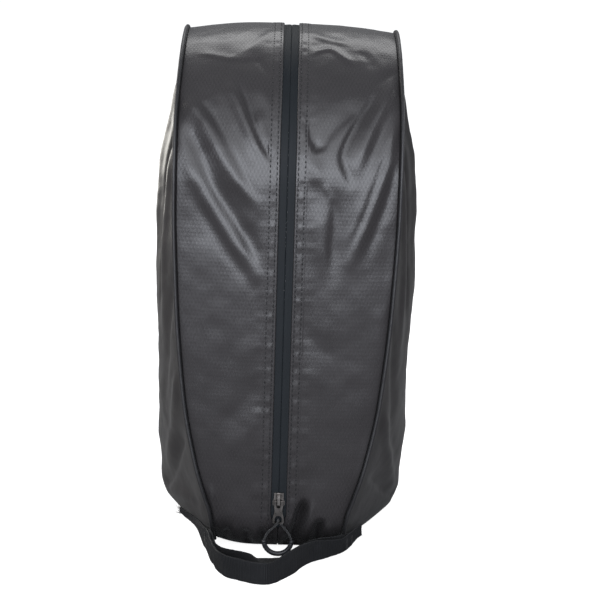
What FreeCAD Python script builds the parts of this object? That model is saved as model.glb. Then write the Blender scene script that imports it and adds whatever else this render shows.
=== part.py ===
# Zip-round shoe bag: a soft coated-polyester bag with a flat base, two bulged side panels and a gusset
# that runs from the base up the front, over a rounded top and down the back. The zip is set in the
# middle of the gusset. Piping follows both side seams, and a webbing hand loop is sewn in at the
# front of the base.
# Frame: millimetres, +Z up, -Y is the front, -X is the left, origin at the centre of the base's
# resting face.
import FreeCAD, Part
import Sketcher
import math
import os

V = FreeCAD.Vector
doc = FreeCAD.newDocument("shoe_bag")

# ---------------------------------------------------------------- driving dimensions
DIMS = [
    ("arch_r", 110.0, "radius of the rounded top, and half the depth of the bag at the zip"),
    ("arch_z", 285.0, "height of the centre of the rounded top"),
    ("toe_r", 33.3, "radius that the front and back turn under with, above the base"),
    ("toe_z", 32.0, "height where that radius starts"),
    ("crown_top", 6.0, "drop of the gusset from its middle to the side seam, on the body"),
    ("crown_foot", 14.0, "drop of the gusset from its middle to the side seam, at the base"),
    ("fabric_thk", 0.9, "coated polyester with its backing"),
    ("foot_gap", 1.4, "height where the walls start above the resting face"),
    ("zip_gap_half", 5.7, "half the width of the zip that shows between the two hems"),
    ("tape_r", 108.7, "radius of the outer face of the zip tape over the top"),
    ("tape_thk", 0.7, "zip tape"),
    ("tape_in", 0.75, "inner edge of each tape from the middle"),
    ("tape_w", 15.25, "width of each tape"),
    ("tape_foot_z", 33.0, "height where the tapes start, front and back"),
    ("coil_r", 108.0, "outer face of the coil over the top"),
    ("coil_thk", 2.2, "height of the coil"),
    ("coil_in", 0.8, "inner edge of each coil from the middle"),
    ("coil_w", 2.8, "width of each coil"),
    ("coil_foot_z", 35.5, "height where the coils start"),
    ("base_nose_x", 22.0, "base outline, end of the front edge"),
    ("base_nose_y", 84.0, "base outline, front edge"),
    ("base_cor_x", 46.0, "base outline, foot of the side seam, across"),
    ("base_cor_y", 72.0, "base outline, foot of the side seam, along"),
    ("base_side_x", 91.0, "base outline, side corner, across"),
    ("base_side_y", 8.0, "base outline, side corner, along"),
    ("base_thk", 1.2, "base panel"),
    ("board_z", 1.4, "underside of the stiffening board"),
    ("board_thk", 3.0, "stiffening board"),
    ("board_inset", 5.0, "board edge inside the base outline"),
    ("lining_z", 4.6, "underside of the cloth over the board"),
    ("lining_thk", 0.8, "cloth over the board"),
    ("lining_inset", 3.6, "cloth edge inside the base outline"),
    ("bind_inset", 2.2, "base seam binding, outer face inside the base outline"),
    ("bind_thk", 0.9, "base seam binding"),
    ("bind_h", 9.0, "base seam binding"),
    ("piping_r", 1.45, "piping bead"),
    ("piping_core_r", 0.9, "cord in the piping"),
    ("piping_hole_r", 1.0, "inside of the piping cover"),
    ("slider_z", 45.3, "height of the middle of the slider when the zip is closed"),
    ("slider_len", 11.6, "slider"),
    ("slider_w", 9.2, "slider at its shoulders"),
    ("slider_tail_w", 7.2, "slider at its tail"),
    ("plate_thk", 1.3, "slider plates"),
    ("plate_out_y", 108.95, "inner face of the outer plate, from the middle of the bag"),
    ("plate_in_y", 105.6, "outer face of the inner plate, from the middle of the bag"),
    ("post_w", 1.1, "post between the plates"),
    ("flange_thk", 0.8, "slider flanges"),
    ("flange_h", 2.15, "slider flanges"),
    ("bridge_w", 2.0, "bridge over the slider"),
    ("bridge_h", 4.6, "bridge over the slider, above the outer plate"),
    ("pull_y", 112.4, "pull tab's pivot from the middle of the bag"),
    ("pull_z", 44.4, "pull tab's pivot height"),
    ("tab_thk", 1.0, "pull tab"),
    ("tab_len", 17.2, "pull tab, from pivot to lower edge"),
    ("tab_top_w", 6.0, "pull tab at the pivot"),
    ("tab_low_w", 8.6, "pull tab at its lower end"),
    ("cord_r", 0.85, "cord loop"),
    ("arc_r", 10.5, "centre line of the moulded grip"),
    ("arc_tube_r", 1.9, "moulded grip"),
    ("arc_z", 13.6, "centre of the moulded grip"),
    ("web_w", 19.0, "webbing of the hand loop"),
    ("web_thk", 1.6, "webbing of the hand loop"),
    ("web_foot_z", 0.8, "lower edge of the hand loop"),
    ("loop_y", 112.0, "pivot line of the hand loop in front of the middle of the bag"),
    ("mouth_x", 60.0, "fold line of the mouth edges, from the middle"),
    ("mouth_low_z", 66.0, "lower end of the mouth edges"),
    ("mouth_mid_z", 135.0, "widest height of the mouth edges"),
    ("mouth_top_z", 204.0, "upper end of the mouth edges"),
    ("mouth_slit", 0.5, "gap round the mouth edges"),
    ("seam_w", 8.0, "bound seam allowance inside the side seams"),
    ("seam_thk", 1.6, "bound seam allowance inside the side seams"),
]


class Length:
    """A length that carries its value and the spreadsheet expression that drives it."""

    def __init__(self, value, text):
        self.value = value
        self.text = text

    def __add__(self, other):
        other = as_length(other)
        return Length(self.value + other.value, "(%s + %s)" % (self.text, other.text))

    def __mul__(self, factor):
        return Length(self.value * factor, "(%r) * %s" % (float(factor), self.text))

    def __neg__(self):
        return self * -1.0

    def __sub__(self, other):
        return self + -as_length(other)

    __rmul__ = __mul__


def as_length(value):
    """Plain numbers become constant lengths."""
    return value if isinstance(value, Length) else Length(float(value), "(%r)" % float(value))


class Dims:
    """The driving dimensions by alias, each one a Length."""


dims = Dims()
sheet = doc.addObject("Spreadsheet::Sheet", "Dims")
for row, (alias, value, note) in enumerate(DIMS, start=1):
    sheet.set("A%d" % row, note)
    sheet.set("B%d" % row, str(value))
    sheet.setAlias("B%d" % row, alias)
    setattr(dims, alias, Length(value, "Dims." + alias))
doc.recompute()


# ---------------------------------------------------------------- sketches and pads
def bind(obj, prop, length):
    obj.setExpression(prop, as_length(length).text)


def body(name):
    return doc.addObject("PartDesign::Body", name)


def sketch(owner, role, name, offset=None):
    """A sketch on one of the body's origin planes, moved by offset along the plane's normal."""
    origin_plane = next(f for f in owner.Origin.OriginFeatures if f.Role == role)
    sk = owner.newObject("Sketcher::SketchObject", name)
    sk.AttachmentSupport = [(origin_plane, "")]
    sk.MapMode = "FlatFace"
    if offset is not None:
        bind(sk, "AttachmentOffset.Base.z", offset)
    return sk


def drive(sk, kind, refs, length):
    """A dimensional constraint driven by a length."""
    length = as_length(length)
    index = sk.addConstraint(Sketcher.Constraint(kind, *refs, length.value))
    bind(sk, "Constraints[%d]" % index, length)


def add_line(sk, start, end):
    ends = [V(as_length(x).value, as_length(y).value, 0) for x, y in (start, end)]
    return sk.addGeometry(Part.LineSegment(*ends))


def polygon(sk, points):
    """A closed polygon whose every corner is placed from the origin by two driven dimensions."""
    first = sk.GeometryCount
    count = len(points)
    for i in range(count):
        add_line(sk, points[i], points[(i + 1) % count])
    for i in range(count):
        following = first + (i + 1) % count
        sk.addConstraint(Sketcher.Constraint("Coincident", first + i, 2, following, 1))
    for i, (x, y) in enumerate(points):
        drive(sk, "DistanceX", (-1, 1, first + i, 1), x)
        drive(sk, "DistanceY", (-1, 1, first + i, 1), y)


def both_sides(right):
    """The right half of an outline, then its mirror image in reverse order."""
    return right + [(-as_length(x), y) for x, y in reversed(right)]


def hole(sk, x, y, radius):
    centre = V(as_length(x).value, as_length(y).value, 0)
    circle = sk.addGeometry(Part.Circle(centre, V(0, 0, 1), radius))
    drive(sk, "DistanceX", (-1, 1, circle, 3), x)
    drive(sk, "DistanceY", (-1, 1, circle, 3), y)
    drive(sk, "Radius", (circle,), radius)


def pad(owner, sk, length, name, symmetric=False):
    extrusion = owner.newObject("PartDesign::Pad", name)
    extrusion.Profile = sk
    bind(extrusion, "Length", length)
    if symmetric:
        extrusion.Midplane = True


# ---------------------------------------------------------------- document objects
nodes = {}


def keep(label, obj):
    """Label an object as a finished piece and list it for export."""
    obj.Label = label
    nodes[label] = obj


def keep_pair(stem, left):
    """Keep a left piece and its mirror image on the right."""
    keep(stem + "_left", left)
    right = doc.addObject("Part::Mirroring", stem + "_right_copy")
    right.Source = left
    right.Normal = V(1, 0, 0)
    right.Base = V(0, 0, 0)
    keep(stem + "_right", right)


def feature(name, shape):
    obj = doc.addObject("Part::Feature", name)
    obj.Shape = shape
    return obj


def boolean(kind, name, base, tool):
    """kind is Cut or Common."""
    obj = doc.addObject("Part::" + kind, name)
    obj.Base = base
    obj.Tool = tool
    return obj


def block(name, size, corner):
    """A box from three sizes and the place of its lowest corner."""
    box = doc.addObject("Part::Box", name)
    for prop, length in zip(("Length", "Width", "Height"), size):
        bind(box, prop, length)
    for axis, length in zip("xyz", corner):
        bind(box, "Placement.Base." + axis, length)
    return box


def keep_group(label, members):
    compound = doc.addObject("Part::Compound", label + "_group")
    compound.Links = members
    keep(label, compound)


# ---------------------------------------------------------------- solids from curves and grids
def curve_through(points):
    curve = Part.BSplineCurve()
    curve.interpolate(points)
    return curve


def surface_through(grid):
    surface = Part.BSplineSurface()
    surface.interpolate(grid)
    return surface


def close_up(faces):
    shell = Part.Shell(faces)
    shell.sewShape()
    solid = Part.Solid(shell)
    if solid.Volume < 0:
        solid.reverse()
    return solid


def shell_solid(outer_grid, inner_grid):
    """A closed solid between two point grids of the same size."""
    surfaces = [surface_through(outer_grid), surface_through(inner_grid)]
    faces = [surface.toShape() for surface in surfaces]
    rims = []
    for surface in surfaces:
        u0, u1, v0, v1 = surface.bounds()
        rims.append([surface.uIso(u0), surface.uIso(u1), surface.vIso(v0), surface.vIso(v1)])
    for outer_rim, inner_rim in zip(*rims):
        faces.append(Part.makeRuledSurface(outer_rim.toShape(), inner_rim.toShape()))
    return close_up(faces)


def ribbon_solid(sections):
    """A closed solid through four-cornered sections."""
    curves = [curve_through([s[k] for s in sections]).toShape() for k in range(4)]
    faces = [Part.makeRuledSurface(curves[k], curves[(k + 1) % 4]) for k in range(4)]
    for s in (sections[0], sections[-1]):
        edges = [Part.LineSegment(s[0], s[1]).toShape(), Part.LineSegment(s[3], s[2]).toShape()]
        faces.append(Part.makeRuledSurface(*edges))
    return close_up(faces)


# ---------------------------------------------------------------- shape of the bag
# (height, half-width of the bag at the side seam)
SEAM_X = [
    (0, 48.0), (31, 51.5), (46, 56.0), (75, 64.0), (124, 73.0),
    (200, 79.5), (275, 82.0), (330, 82.0), (395, 80.0),
]
# (height, how far the middle of the side panel stands out beyond the seam)
BULGE = [
    (0, 44.0), (20, 46.5), (55, 40.8), (90, 33.0), (140, 26.0), (200, 22.0),
    (256, 19.0), (288, 16.5), (320, 12.0), (350, 6.5), (375, 2.5), (395, 0.6),
]
# (height, roundness of the bulge: near 0 is a cone, larger is a smoother dome)
ROUNDNESS = [(0, 0.16), (60, 0.3), (150, 0.8), (395, 0.9)]

FLAT_HALF = 18.0  # the gusset is flat this far from its middle
CROWN_TOP_RUN = 64.0  # width over which crown_top builds up beyond the flat
CROWN_FOOT_RUN = 30.0  # width over which crown_foot builds up beyond the flat
CROWN_BLEND_Z = 70.0  # height where the foot's crown has faded out
TOE_STEPS, WALL_STEPS, ARCH_STEPS = 4, 13, 20  # spacing of the points on the gusset's middle line

arch_r, arch_z = dims.arch_r.value, dims.arch_z.value
toe_r, toe_z = dims.toe_r.value, dims.toe_z.value
foot_z = dims.foot_gap.value
fabric = dims.fabric_thk.value


def smooth(stations, x):
    """Smooth curve through the (x, value) stations, constant beyond them and without overshoot."""
    xs = [station[0] for station in stations]
    values = [station[1] for station in stations]
    if x <= xs[0]:
        return values[0]
    if x >= xs[-1]:
        return values[-1]
    spans = range(len(xs) - 1)
    slopes = [(values[i + 1] - values[i]) / (xs[i + 1] - xs[i]) for i in spans]
    tangents = [slopes[0]]
    for before, after in zip(slopes, slopes[1:]):
        turns = before * after <= 0
        tangents.append(0.0 if turns else 2 * before * after / (before + after))
    tangents.append(slopes[-1])
    i = max(j for j in spans if xs[j] <= x)
    width = xs[i + 1] - xs[i]
    q = (x - xs[i]) / width
    return (
        values[i] * (1 + 2 * q) * (1 - q) ** 2
        + tangents[i] * width * q * (1 - q) ** 2
        + values[i + 1] * q * q * (3 - 2 * q)
        + tangents[i + 1] * width * q * q * (q - 1)
    )


def seam_x(z):
    return smooth(SEAM_X, z)


def crown(x, z):
    """How far the gusset falls back from its middle line."""
    at_top = dims.crown_top.value / CROWN_TOP_RUN**2
    at_foot = dims.crown_foot.value / CROWN_FOOT_RUN**2
    factor = at_top + (at_foot - at_top) * max(0.0, 1 - z / CROWN_BLEND_Z) ** 2
    return factor * max(0.0, abs(x) - FLAT_HALF) ** 2


def seam_reach(z):
    """From the bag's middle, or from the arch's centre above it, to the side seam."""
    reach = arch_r
    if z < toe_z:
        reach = arch_r - toe_r + math.sqrt(toe_r**2 - (toe_z - z) ** 2)
    return reach - crown(seam_x(z), z)


def outline(z_low=foot_z):
    """Points (y, z, normal_y, normal_z) of the gusset's middle line from the front foot over the
    top to the back foot. The normals point outward and stay level on the toes and walls.
    z_low lies below toe_z."""
    front = []
    toe_angle = math.asin((toe_z - z_low) / toe_r)
    for i in range(TOE_STEPS):
        a = toe_angle * (1 - i / TOE_STEPS)
        y = -(arch_r - toe_r) - toe_r * math.cos(a)
        front.append((y, toe_z - toe_r * math.sin(a), -1.0, 0.0))
    for i in range(WALL_STEPS):
        front.append((-arch_r, toe_z + (arch_z - toe_z) * i / WALL_STEPS, -1.0, 0.0))
    arch = []
    for i in range(ARCH_STEPS + 1):
        a = math.pi * i / ARCH_STEPS
        across, up = -math.cos(a), math.sin(a)
        arch.append((arch_r * across, arch_z + arch_r * up, across, up))
    back = [(-y, z, -normal_y, normal_z) for y, z, normal_y, normal_z in reversed(front)]
    return front + arch + back


def skin_point(station, x, inward=0.0):
    """A point of the gusset at width x, inward below its outer face."""
    y, z, normal_y, normal_z = station
    drop = crown(x, z) + inward
    return V(x, y - normal_y * drop, z - normal_z * drop)


def left_seam_point(station, inward=0.0):
    return skin_point(station, -seam_x(station[1]), inward)


def side_x(y, z):
    """Half-width of the bag at depth y and height z: the side panel's outer face."""
    rho = math.hypot(y, max(0.0, z - arch_z)) / seam_reach(z)
    e = smooth(ROUNDNESS, z)
    rim = math.sqrt(1 + e * e)
    share = (rim - math.sqrt(rho * rho + e * e)) / (rim - e)
    return seam_x(z) + smooth(BULGE, z) * share


# ---------------------------------------------------------------- gusset, with its two mouth edges
HEM_X = 11.0  # a row of grid points between the zip edge and the end of the flat


def gusset_grid(inward):
    rows = []
    for station in outline():
        run = seam_x(station[1]) - FLAT_HALF
        xs = [dims.zip_gap_half.value, HEM_X, FLAT_HALF]
        xs += [FLAT_HALF + run * q for q in (0.25, 0.5, 0.75, 1.0)]
        rows.append([skin_point(station, -x, inward) for x in xs])
    return rows


def mouth_prism(name, grow):
    """The wedge of the left front between the fold line and the zip edge, enlarged by grow."""
    prism = body(name)
    zip_edge = -dims.zip_gap_half + 0.3
    fold = -dims.mouth_x + 3.0 - grow
    past_zip = 4.0
    # The XZ plane's normal is -Y, so a positive offset lies in front.
    sk = sketch(prism, "XZ_Plane", name + "_sketch", dims.arch_r - 40.0)
    polygon(
        sk,
        [
            (past_zip, dims.mouth_low_z - 6.0 - grow),
            (zip_edge, dims.mouth_low_z - 1.6 * grow),
            (fold, dims.mouth_mid_z - 2.0 - grow),
            (fold, dims.mouth_mid_z + 2.0 + grow),
            (zip_edge, dims.mouth_top_z + 1.6 * grow),
            (past_zip, dims.mouth_top_z + 6.0 + grow),
        ],
    )
    pad(prism, sk, 60.0, name + "_pad")
    return prism


def build_gusset():
    blank = feature("gusset_left_blank", shell_solid(gusset_grid(0.0), gusset_grid(fabric)))
    wedge = mouth_prism("mouth_wedge", as_length(0.0))
    wedge_hole = mouth_prism("mouth_wedge_hole", dims.mouth_slit)
    keep_pair("gusset_panel", boolean("Cut", "gusset_left_cut", blank, wedge_hole))
    keep_pair("mouth_edge", boolean("Common", "mouth_edge_left_cut", blank, wedge))


# ---------------------------------------------------------------- side panels
SIDE_ROWS, SIDE_COLUMNS = 24, 18  # spaces between the grid points
SIDE_HALF_Y = 114  # the blank's half-depth, beyond the seams
SIDE_OVER_TOP = 1.0  # height of the blank above the rounded top
SIDE_SEAM_GAP = 0.15  # between the gusset's inner face and the side panel's edge


def side_grid(depth):
    height = arch_z + arch_r + SIDE_OVER_TOP - foot_z
    ys = [-SIDE_HALF_Y + 2 * SIDE_HALF_Y * j / SIDE_COLUMNS for j in range(SIDE_COLUMNS + 1)]
    zs = [foot_z + height * (i / SIDE_ROWS) for i in range(SIDE_ROWS + 1)]
    return [[V(-(side_x(y, z) - depth), y, z) for y in ys] for z in zs]


def build_side_panels():
    """A bulged sheet trimmed by a block drawn along the inside of the gusset."""
    blank = feature("side_left_blank", shell_solid(side_grid(0.0), side_grid(fabric)))
    rim = [left_seam_point(p, fabric + SIDE_SEAM_GAP) for p in outline(foot_z - 0.6)]
    rim = [V(0, q.y, q.z) for q in rim]
    closing_line = Part.LineSegment(rim[-1], rim[0]).toShape()
    rim_wire = Part.Wire([curve_through(rim).toShape(), closing_line])
    trim = doc.addObject("Part::Extrusion", "side_rim_block")
    trim.Base = feature("side_rim", Part.Face(rim_wire))
    trim.DirMode = "Custom"
    trim.Dir = V(-1, 0, 0)
    trim.LengthFwd = 140
    trim.Solid = True
    keep_pair("side_panel", boolean("Common", "side_left_cut", blank, trim))


# ---------------------------------------------------------------- piping along both side seams
PIPING_FOOT_Z = 4.6
PIPING_GAP = 0.46  # between the bead and the corner of the seam
PIPING_RINGS = 56  # spaces between the loft's sections
NEAR_SEAM = 0.985  # scale that steps a seam point onto the side panel beside it


def piping_line():
    """A line off the corner of the left seam, half way between the faces of the two panels."""
    reach = dims.piping_r.value + PIPING_GAP
    stations = outline(PIPING_FOOT_Z)
    seam = [left_seam_point(p) for p in stations]
    points = []
    for i, (station, q) in enumerate(zip(stations, seam)):
        along = seam[min(i + 1, len(seam) - 1)] - seam[max(i - 1, 0)]
        along.normalize()
        gusset_way = skin_point(station, -seam_x(station[1]) + 1.5) - q
        y = q.y * NEAR_SEAM
        z = q.z if q.z <= arch_z else arch_z + (q.z - arch_z) * NEAR_SEAM
        side_way = V(-side_x(y, z), y, z) - q
        inward = V(0, 0, 0)
        for way in (gusset_way, side_way):
            square = way - along * way.dot(along)
            square.normalize()
            inward = inward + square
        inward.normalize()
        points.append(q - inward * reach)
    return curve_through(points)


def tube(name, curve, radius, flats=0):
    """A cord lofted through sections square to a curve: circles, or polygons of so many flats."""
    first, last = curve.FirstParameter, curve.LastParameter
    wires = []
    for i in range(PIPING_RINGS + 1):
        u = first + (last - first) * i / PIPING_RINGS
        centre, along = curve.value(u), curve.tangent(u)[0]
        across = V(1, 0, 0) - along * along.x
        across.normalize()
        if flats:
            up = along.cross(across)
            angles = [2 * math.pi * k / flats for k in range(flats)]
            ring = [
                centre + across * (radius * math.cos(a)) + up * (radius * math.sin(a))
                for a in angles
            ]
            wires.append(Part.makePolygon(ring + ring[:1]))
        else:
            hoop = Part.Circle(centre, along, radius)
            hoop.XAxis = across
            wires.append(Part.Wire([hoop.toShape()]))
    return feature(name, Part.makeLoft(wires, True, False))


def build_piping():
    line = piping_line()
    outer = tube("piping_cover_outer", line, dims.piping_r.value)
    bore = tube("piping_cover_bore", line, dims.piping_hole_r.value)
    core = tube("piping_core_left", line, dims.piping_core_r.value, flats=8)
    keep_pair("piping_cover", boolean("Cut", "piping_cover_left_cut", outer, bore))
    keep_pair("piping_cord", core)


# ---------------------------------------------------------------- bound seam allowance inside each seam
BINDING_FOOT_Z = 12.0
BINDING_GAP = 0.3  # below the gusset's inner face
BINDING_X = 1.6  # from the seam towards the middle


def build_seam_bindings():
    near = V(BINDING_X, 0, 0)
    far = V(BINDING_X + dims.seam_thk.value, 0, 0)
    depth = fabric + BINDING_GAP
    sections = []
    for station in outline(BINDING_FOOT_Z):
        edge = left_seam_point(station, depth)
        deep = left_seam_point(station, depth + dims.seam_w.value)
        sections.append([edge + near, edge + far, deep + far, deep + near])
    keep_pair("seam_binding", feature("seam_binding_left_raw", ribbon_solid(sections)))


# ---------------------------------------------------------------- base
# One quarter of the outline: corner x and y, then how far it moves in x and y for each mm of inset.
BASE_QUARTER = [
    (dims.base_nose_x, dims.base_nose_y, 0.2, 1.0),
    (dims.base_cor_x, dims.base_cor_y, 0.75, 1.1),
    (dims.base_side_x, dims.base_side_y, 1.15, 0.55),
]


def base_outline(inset):
    points = []
    for sign_x, sign_y, order in ((1, -1, 1), (1, 1, -1), (-1, 1, 1), (-1, -1, -1)):
        for x, y, move_x, move_y in BASE_QUARTER[::order]:
            points.append((sign_x * (x - move_x * inset), sign_y * (y - move_y * inset)))
    return points


def base_slab(label, z, thickness, *insets):
    """A slab between heights. A second inset makes it a ring."""
    slab = body(label + "_body")
    sk = sketch(slab, "XY_Plane", label + "_sketch", z)
    for inset in insets:
        polygon(sk, base_outline(inset))
    pad(slab, sk, thickness, label + "_pad")
    keep(label, slab)


def build_base():
    bind_inner = dims.bind_inset + dims.bind_thk
    base_slab("base_panel", 0.0, dims.base_thk, as_length(0.0))
    base_slab("base_board", dims.board_z, dims.board_thk, dims.board_inset)
    base_slab("base_lining", dims.lining_z, dims.lining_thk, dims.lining_inset)
    base_slab("base_binding", dims.board_z, dims.bind_h, dims.bind_inset, bind_inner)


# ---------------------------------------------------------------- zip tapes, coils and stops
def arch_band(stem, radius, thickness, inner_x, width, low_z):
    """A strip on each side that goes straight up the front, round the top and down the back."""
    label = stem + "_left"
    strip = body(label + "_body")
    sk = sketch(strip, "YZ_Plane", label + "_sketch", -inner_x - width)
    centre_z = dims.arch_z
    inner_r = radius - thickness
    strands = []
    for r in (radius, inner_r):
        front = add_line(sk, (-r, low_z), (-r, centre_z))
        circle = Part.Circle(V(0, centre_z.value, 0), V(0, 0, 1), r.value)
        arc = sk.addGeometry(Part.ArcOfCircle(circle, 0, math.pi))
        back = add_line(sk, (r, centre_z), (r, low_z))
        strands.append((front, arc, back, r))
    front_end = add_line(sk, (-inner_r, low_z), (-radius, low_z))
    back_end = add_line(sk, (radius, low_z), (inner_r, low_z))

    def fix(*args):
        sk.addConstraint(Sketcher.Constraint(*args))

    for front, arc, back, r in strands:
        fix("Coincident", front, 2, arc, 2)
        fix("Coincident", arc, 1, back, 1)
        fix("Vertical", front)
        fix("Vertical", back)
        drive(sk, "DistanceY", (-1, 1, arc, 3), centre_z)
        fix("PointOnObject", arc, 3, -2)
        drive(sk, "Radius", (arc,), r)
        drive(sk, "DistanceY", (-1, 1, arc, 1), centre_z)
        drive(sk, "DistanceY", (-1, 1, arc, 2), centre_z)
    (outer_front, _, outer_back, _), (inner_front, _, inner_back, _) = strands
    fix("Coincident", inner_front, 1, front_end, 1)
    fix("Coincident", front_end, 2, outer_front, 1)
    fix("Coincident", outer_back, 2, back_end, 1)
    fix("Coincident", back_end, 2, inner_back, 2)
    for line, end in ((outer_front, 1), (inner_front, 1), (outer_back, 2), (inner_back, 2)):
        drive(sk, "DistanceY", (-1, 1, line, end), low_z)
    pad(strip, sk, width, label + "_pad")
    keep_pair(stem, strip)


def build_zip():
    arch_band(
        "zip_tape", dims.tape_r, dims.tape_thk, dims.tape_in, dims.tape_w, dims.tape_foot_z
    )
    arch_band(
        "zip_coil", dims.coil_r, dims.coil_thk, dims.coil_in, dims.coil_w, dims.coil_foot_z
    )


def build_stops():
    """Two stops under the front ends of the coils and one under the back ends."""
    coil_out = dims.coil_in + dims.coil_w
    thickness = dims.coil_thk - 0.2
    top_size = (dims.coil_w + 0.4, thickness, 1.9)
    top_y = -dims.coil_r + 0.1
    top_z = dims.coil_foot_z - 2.1
    left = block("top_stop_l", top_size, (-coil_out - 0.3, top_y, top_z))
    right = block("top_stop_r", top_size, (dims.coil_in - 0.1, top_y, top_z))
    keep_group("zip_top_stops", [left, right])
    bottom_size = (2 * coil_out + 0.4, thickness, 2.2)
    bottom_y = dims.coil_r - dims.coil_thk + 0.1
    corner = (-coil_out - 0.2, bottom_y, dims.coil_foot_z - 2.4)
    keep("zip_bottom_stop", block("bottom_stop", bottom_size, corner))


# ---------------------------------------------------------------- slider
slider_z = dims.slider_z
plate_face_y = -dims.plate_out_y - dims.plate_thk  # front face of the outer plate


def slider_plan():
    half_len, half_w, half_tail = (
        0.5 * dims.slider_len, 0.5 * dims.slider_w, 0.5 * dims.slider_tail_w
    )
    return both_sides(
        [
            (half_tail, slider_z + half_len),
            (half_tail + 0.05, slider_z + 1.6),
            (half_w, slider_z - 1.0),
            (half_w, slider_z - 3.4),
            (half_w - 1.5, slider_z - half_len),
        ]
    )


def build_slider_body():
    slider = body("slider_body_solid")
    inner_plate_y = dims.plate_in_y - dims.plate_thk

    outer = sketch(slider, "XZ_Plane", "slider_outer_sketch", dims.plate_out_y)
    polygon(outer, slider_plan())
    hole(outer, 0.0, slider_z + 1.0, 0.62)
    pad(slider, outer, dims.plate_thk, "slider_outer_plate")

    post = sketch(slider, "XZ_Plane", "slider_post_sketch", inner_plate_y)
    half_post = 0.5 * dims.post_w
    post_low = slider_z - 0.5 * dims.slider_len + 0.2
    post_sides = both_sides([(half_post, slider_z - 2.2), (half_post, post_low)])
    polygon(post, post_sides + [(0.0, slider_z - 1.0)])
    post_len = dims.plate_out_y - dims.plate_in_y + dims.plate_thk + 0.2
    pad(slider, post, post_len, "slider_post")

    inner = sketch(slider, "XZ_Plane", "slider_inner_sketch", inner_plate_y)
    polygon(inner, slider_plan())
    pad(slider, inner, dims.plate_thk, "slider_inner_plate")

    # The flanges start 0.1 inside the inner plate so that they fuse with it.
    for side, sign in (("l", -1), ("r", 1)):
        name = "slider_flange_" + side
        flange = sketch(slider, "XZ_Plane", name + "_sketch", dims.plate_in_y - 0.1)
        outer_x = sign * (0.5 * dims.slider_w - 0.02)
        inner_x = sign * (0.5 * dims.slider_w - dims.flange_thk)
        top, low = slider_z - 1.0, slider_z - 3.3
        polygon(flange, [(outer_x, top), (outer_x, low), (inner_x, low), (inner_x, top)])
        pad(slider, flange, dims.flange_h + 0.1, name)
    keep("slider_body", slider)


def build_bridge():
    """A hoop over the outer plate that carries the pull tab."""
    bridge = body("slider_bridge_solid")
    foot_y = plate_face_y - 0.02
    top_y = plate_face_y - dims.bridge_h
    sk = sketch(bridge, "YZ_Plane", "slider_bridge_sketch")
    polygon(
        sk,
        [
            # outside, from the upper foot to the lower foot
            (foot_y, slider_z + 4.7),
            (top_y + 1.4, slider_z + 4.5),
            (top_y, slider_z + 3.2),
            (top_y, slider_z - 2.4),
            (top_y + 1.1, slider_z - 3.5),
            (foot_y, slider_z - 3.9),
            # inside, back up
            (foot_y, slider_z - 2.6),
            (top_y + 1.3, slider_z - 2.3),
            (top_y + 1.0, slider_z - 1.8),
            (top_y + 1.0, slider_z + 2.7),
            (top_y + 1.6, slider_z + 3.3),
            (foot_y, slider_z + 3.4),
        ],
    )
    pad(bridge, sk, dims.bridge_w, "slider_bridge_pad", symmetric=True)
    keep("slider_bridge", bridge)


def build_lock_pin():
    """The slider's spring pin: it rests under the bridge and goes down through the outer plate."""
    pin = body("lock_pin_solid")
    tip_y = -dims.coil_r - 0.1
    low, neck, high = slider_z + 0.7, slider_z + 1.3, slider_z + 2.7
    sk = sketch(pin, "YZ_Plane", "lock_pin_sketch")
    polygon(
        sk,
        [
            (tip_y, low),
            (tip_y, neck),
            (plate_face_y - 0.75, neck),
            (plate_face_y - 0.95, high),
            (plate_face_y - 1.25, high),
            (plate_face_y - 1.25, low),
        ],
    )
    pad(pin, sk, 0.8, "lock_pin_pad", symmetric=True)
    keep("lock_pin", pin)


# ---------------------------------------------------------------- pull tab, cord loop and moulded grip
CORD_BAR_H = 1.5  # bar below the cord's window in the pull tab


def build_pull_tab():
    tab = body("pull_tab_solid")
    pivot_z = dims.pull_z
    low_z = pivot_z - dims.tab_len
    half_top, half_low = 0.5 * dims.tab_top_w, 0.5 * dims.tab_low_w
    edge = [
        (half_top, pivot_z + 1.0),
        (half_top + 0.2, pivot_z - 4.4),
        (half_top - 0.2, pivot_z - 6.6),
        (half_low, pivot_z - 13.4),
        (half_low - 0.2, low_z + 0.9),
        (half_low - 1.4, low_z),
    ]
    bridge_window = [(1.4, pivot_z - 0.62), (1.5, pivot_z - 3.6), (0.8, pivot_z - 4.6)]
    cord_window = [(1.3, pivot_z - 10.9), (2.5, pivot_z - 12.2), (2.7, low_z + CORD_BAR_H)]
    sk = sketch(tab, "XZ_Plane", "pull_tab_sketch", dims.pull_y - 0.5 * dims.tab_thk)
    for right in (edge, bridge_window, cord_window):
        polygon(sk, both_sides(right))
    pad(tab, sk, dims.tab_thk, "pull_tab_pad")
    keep("pull_tab", tab)


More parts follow.
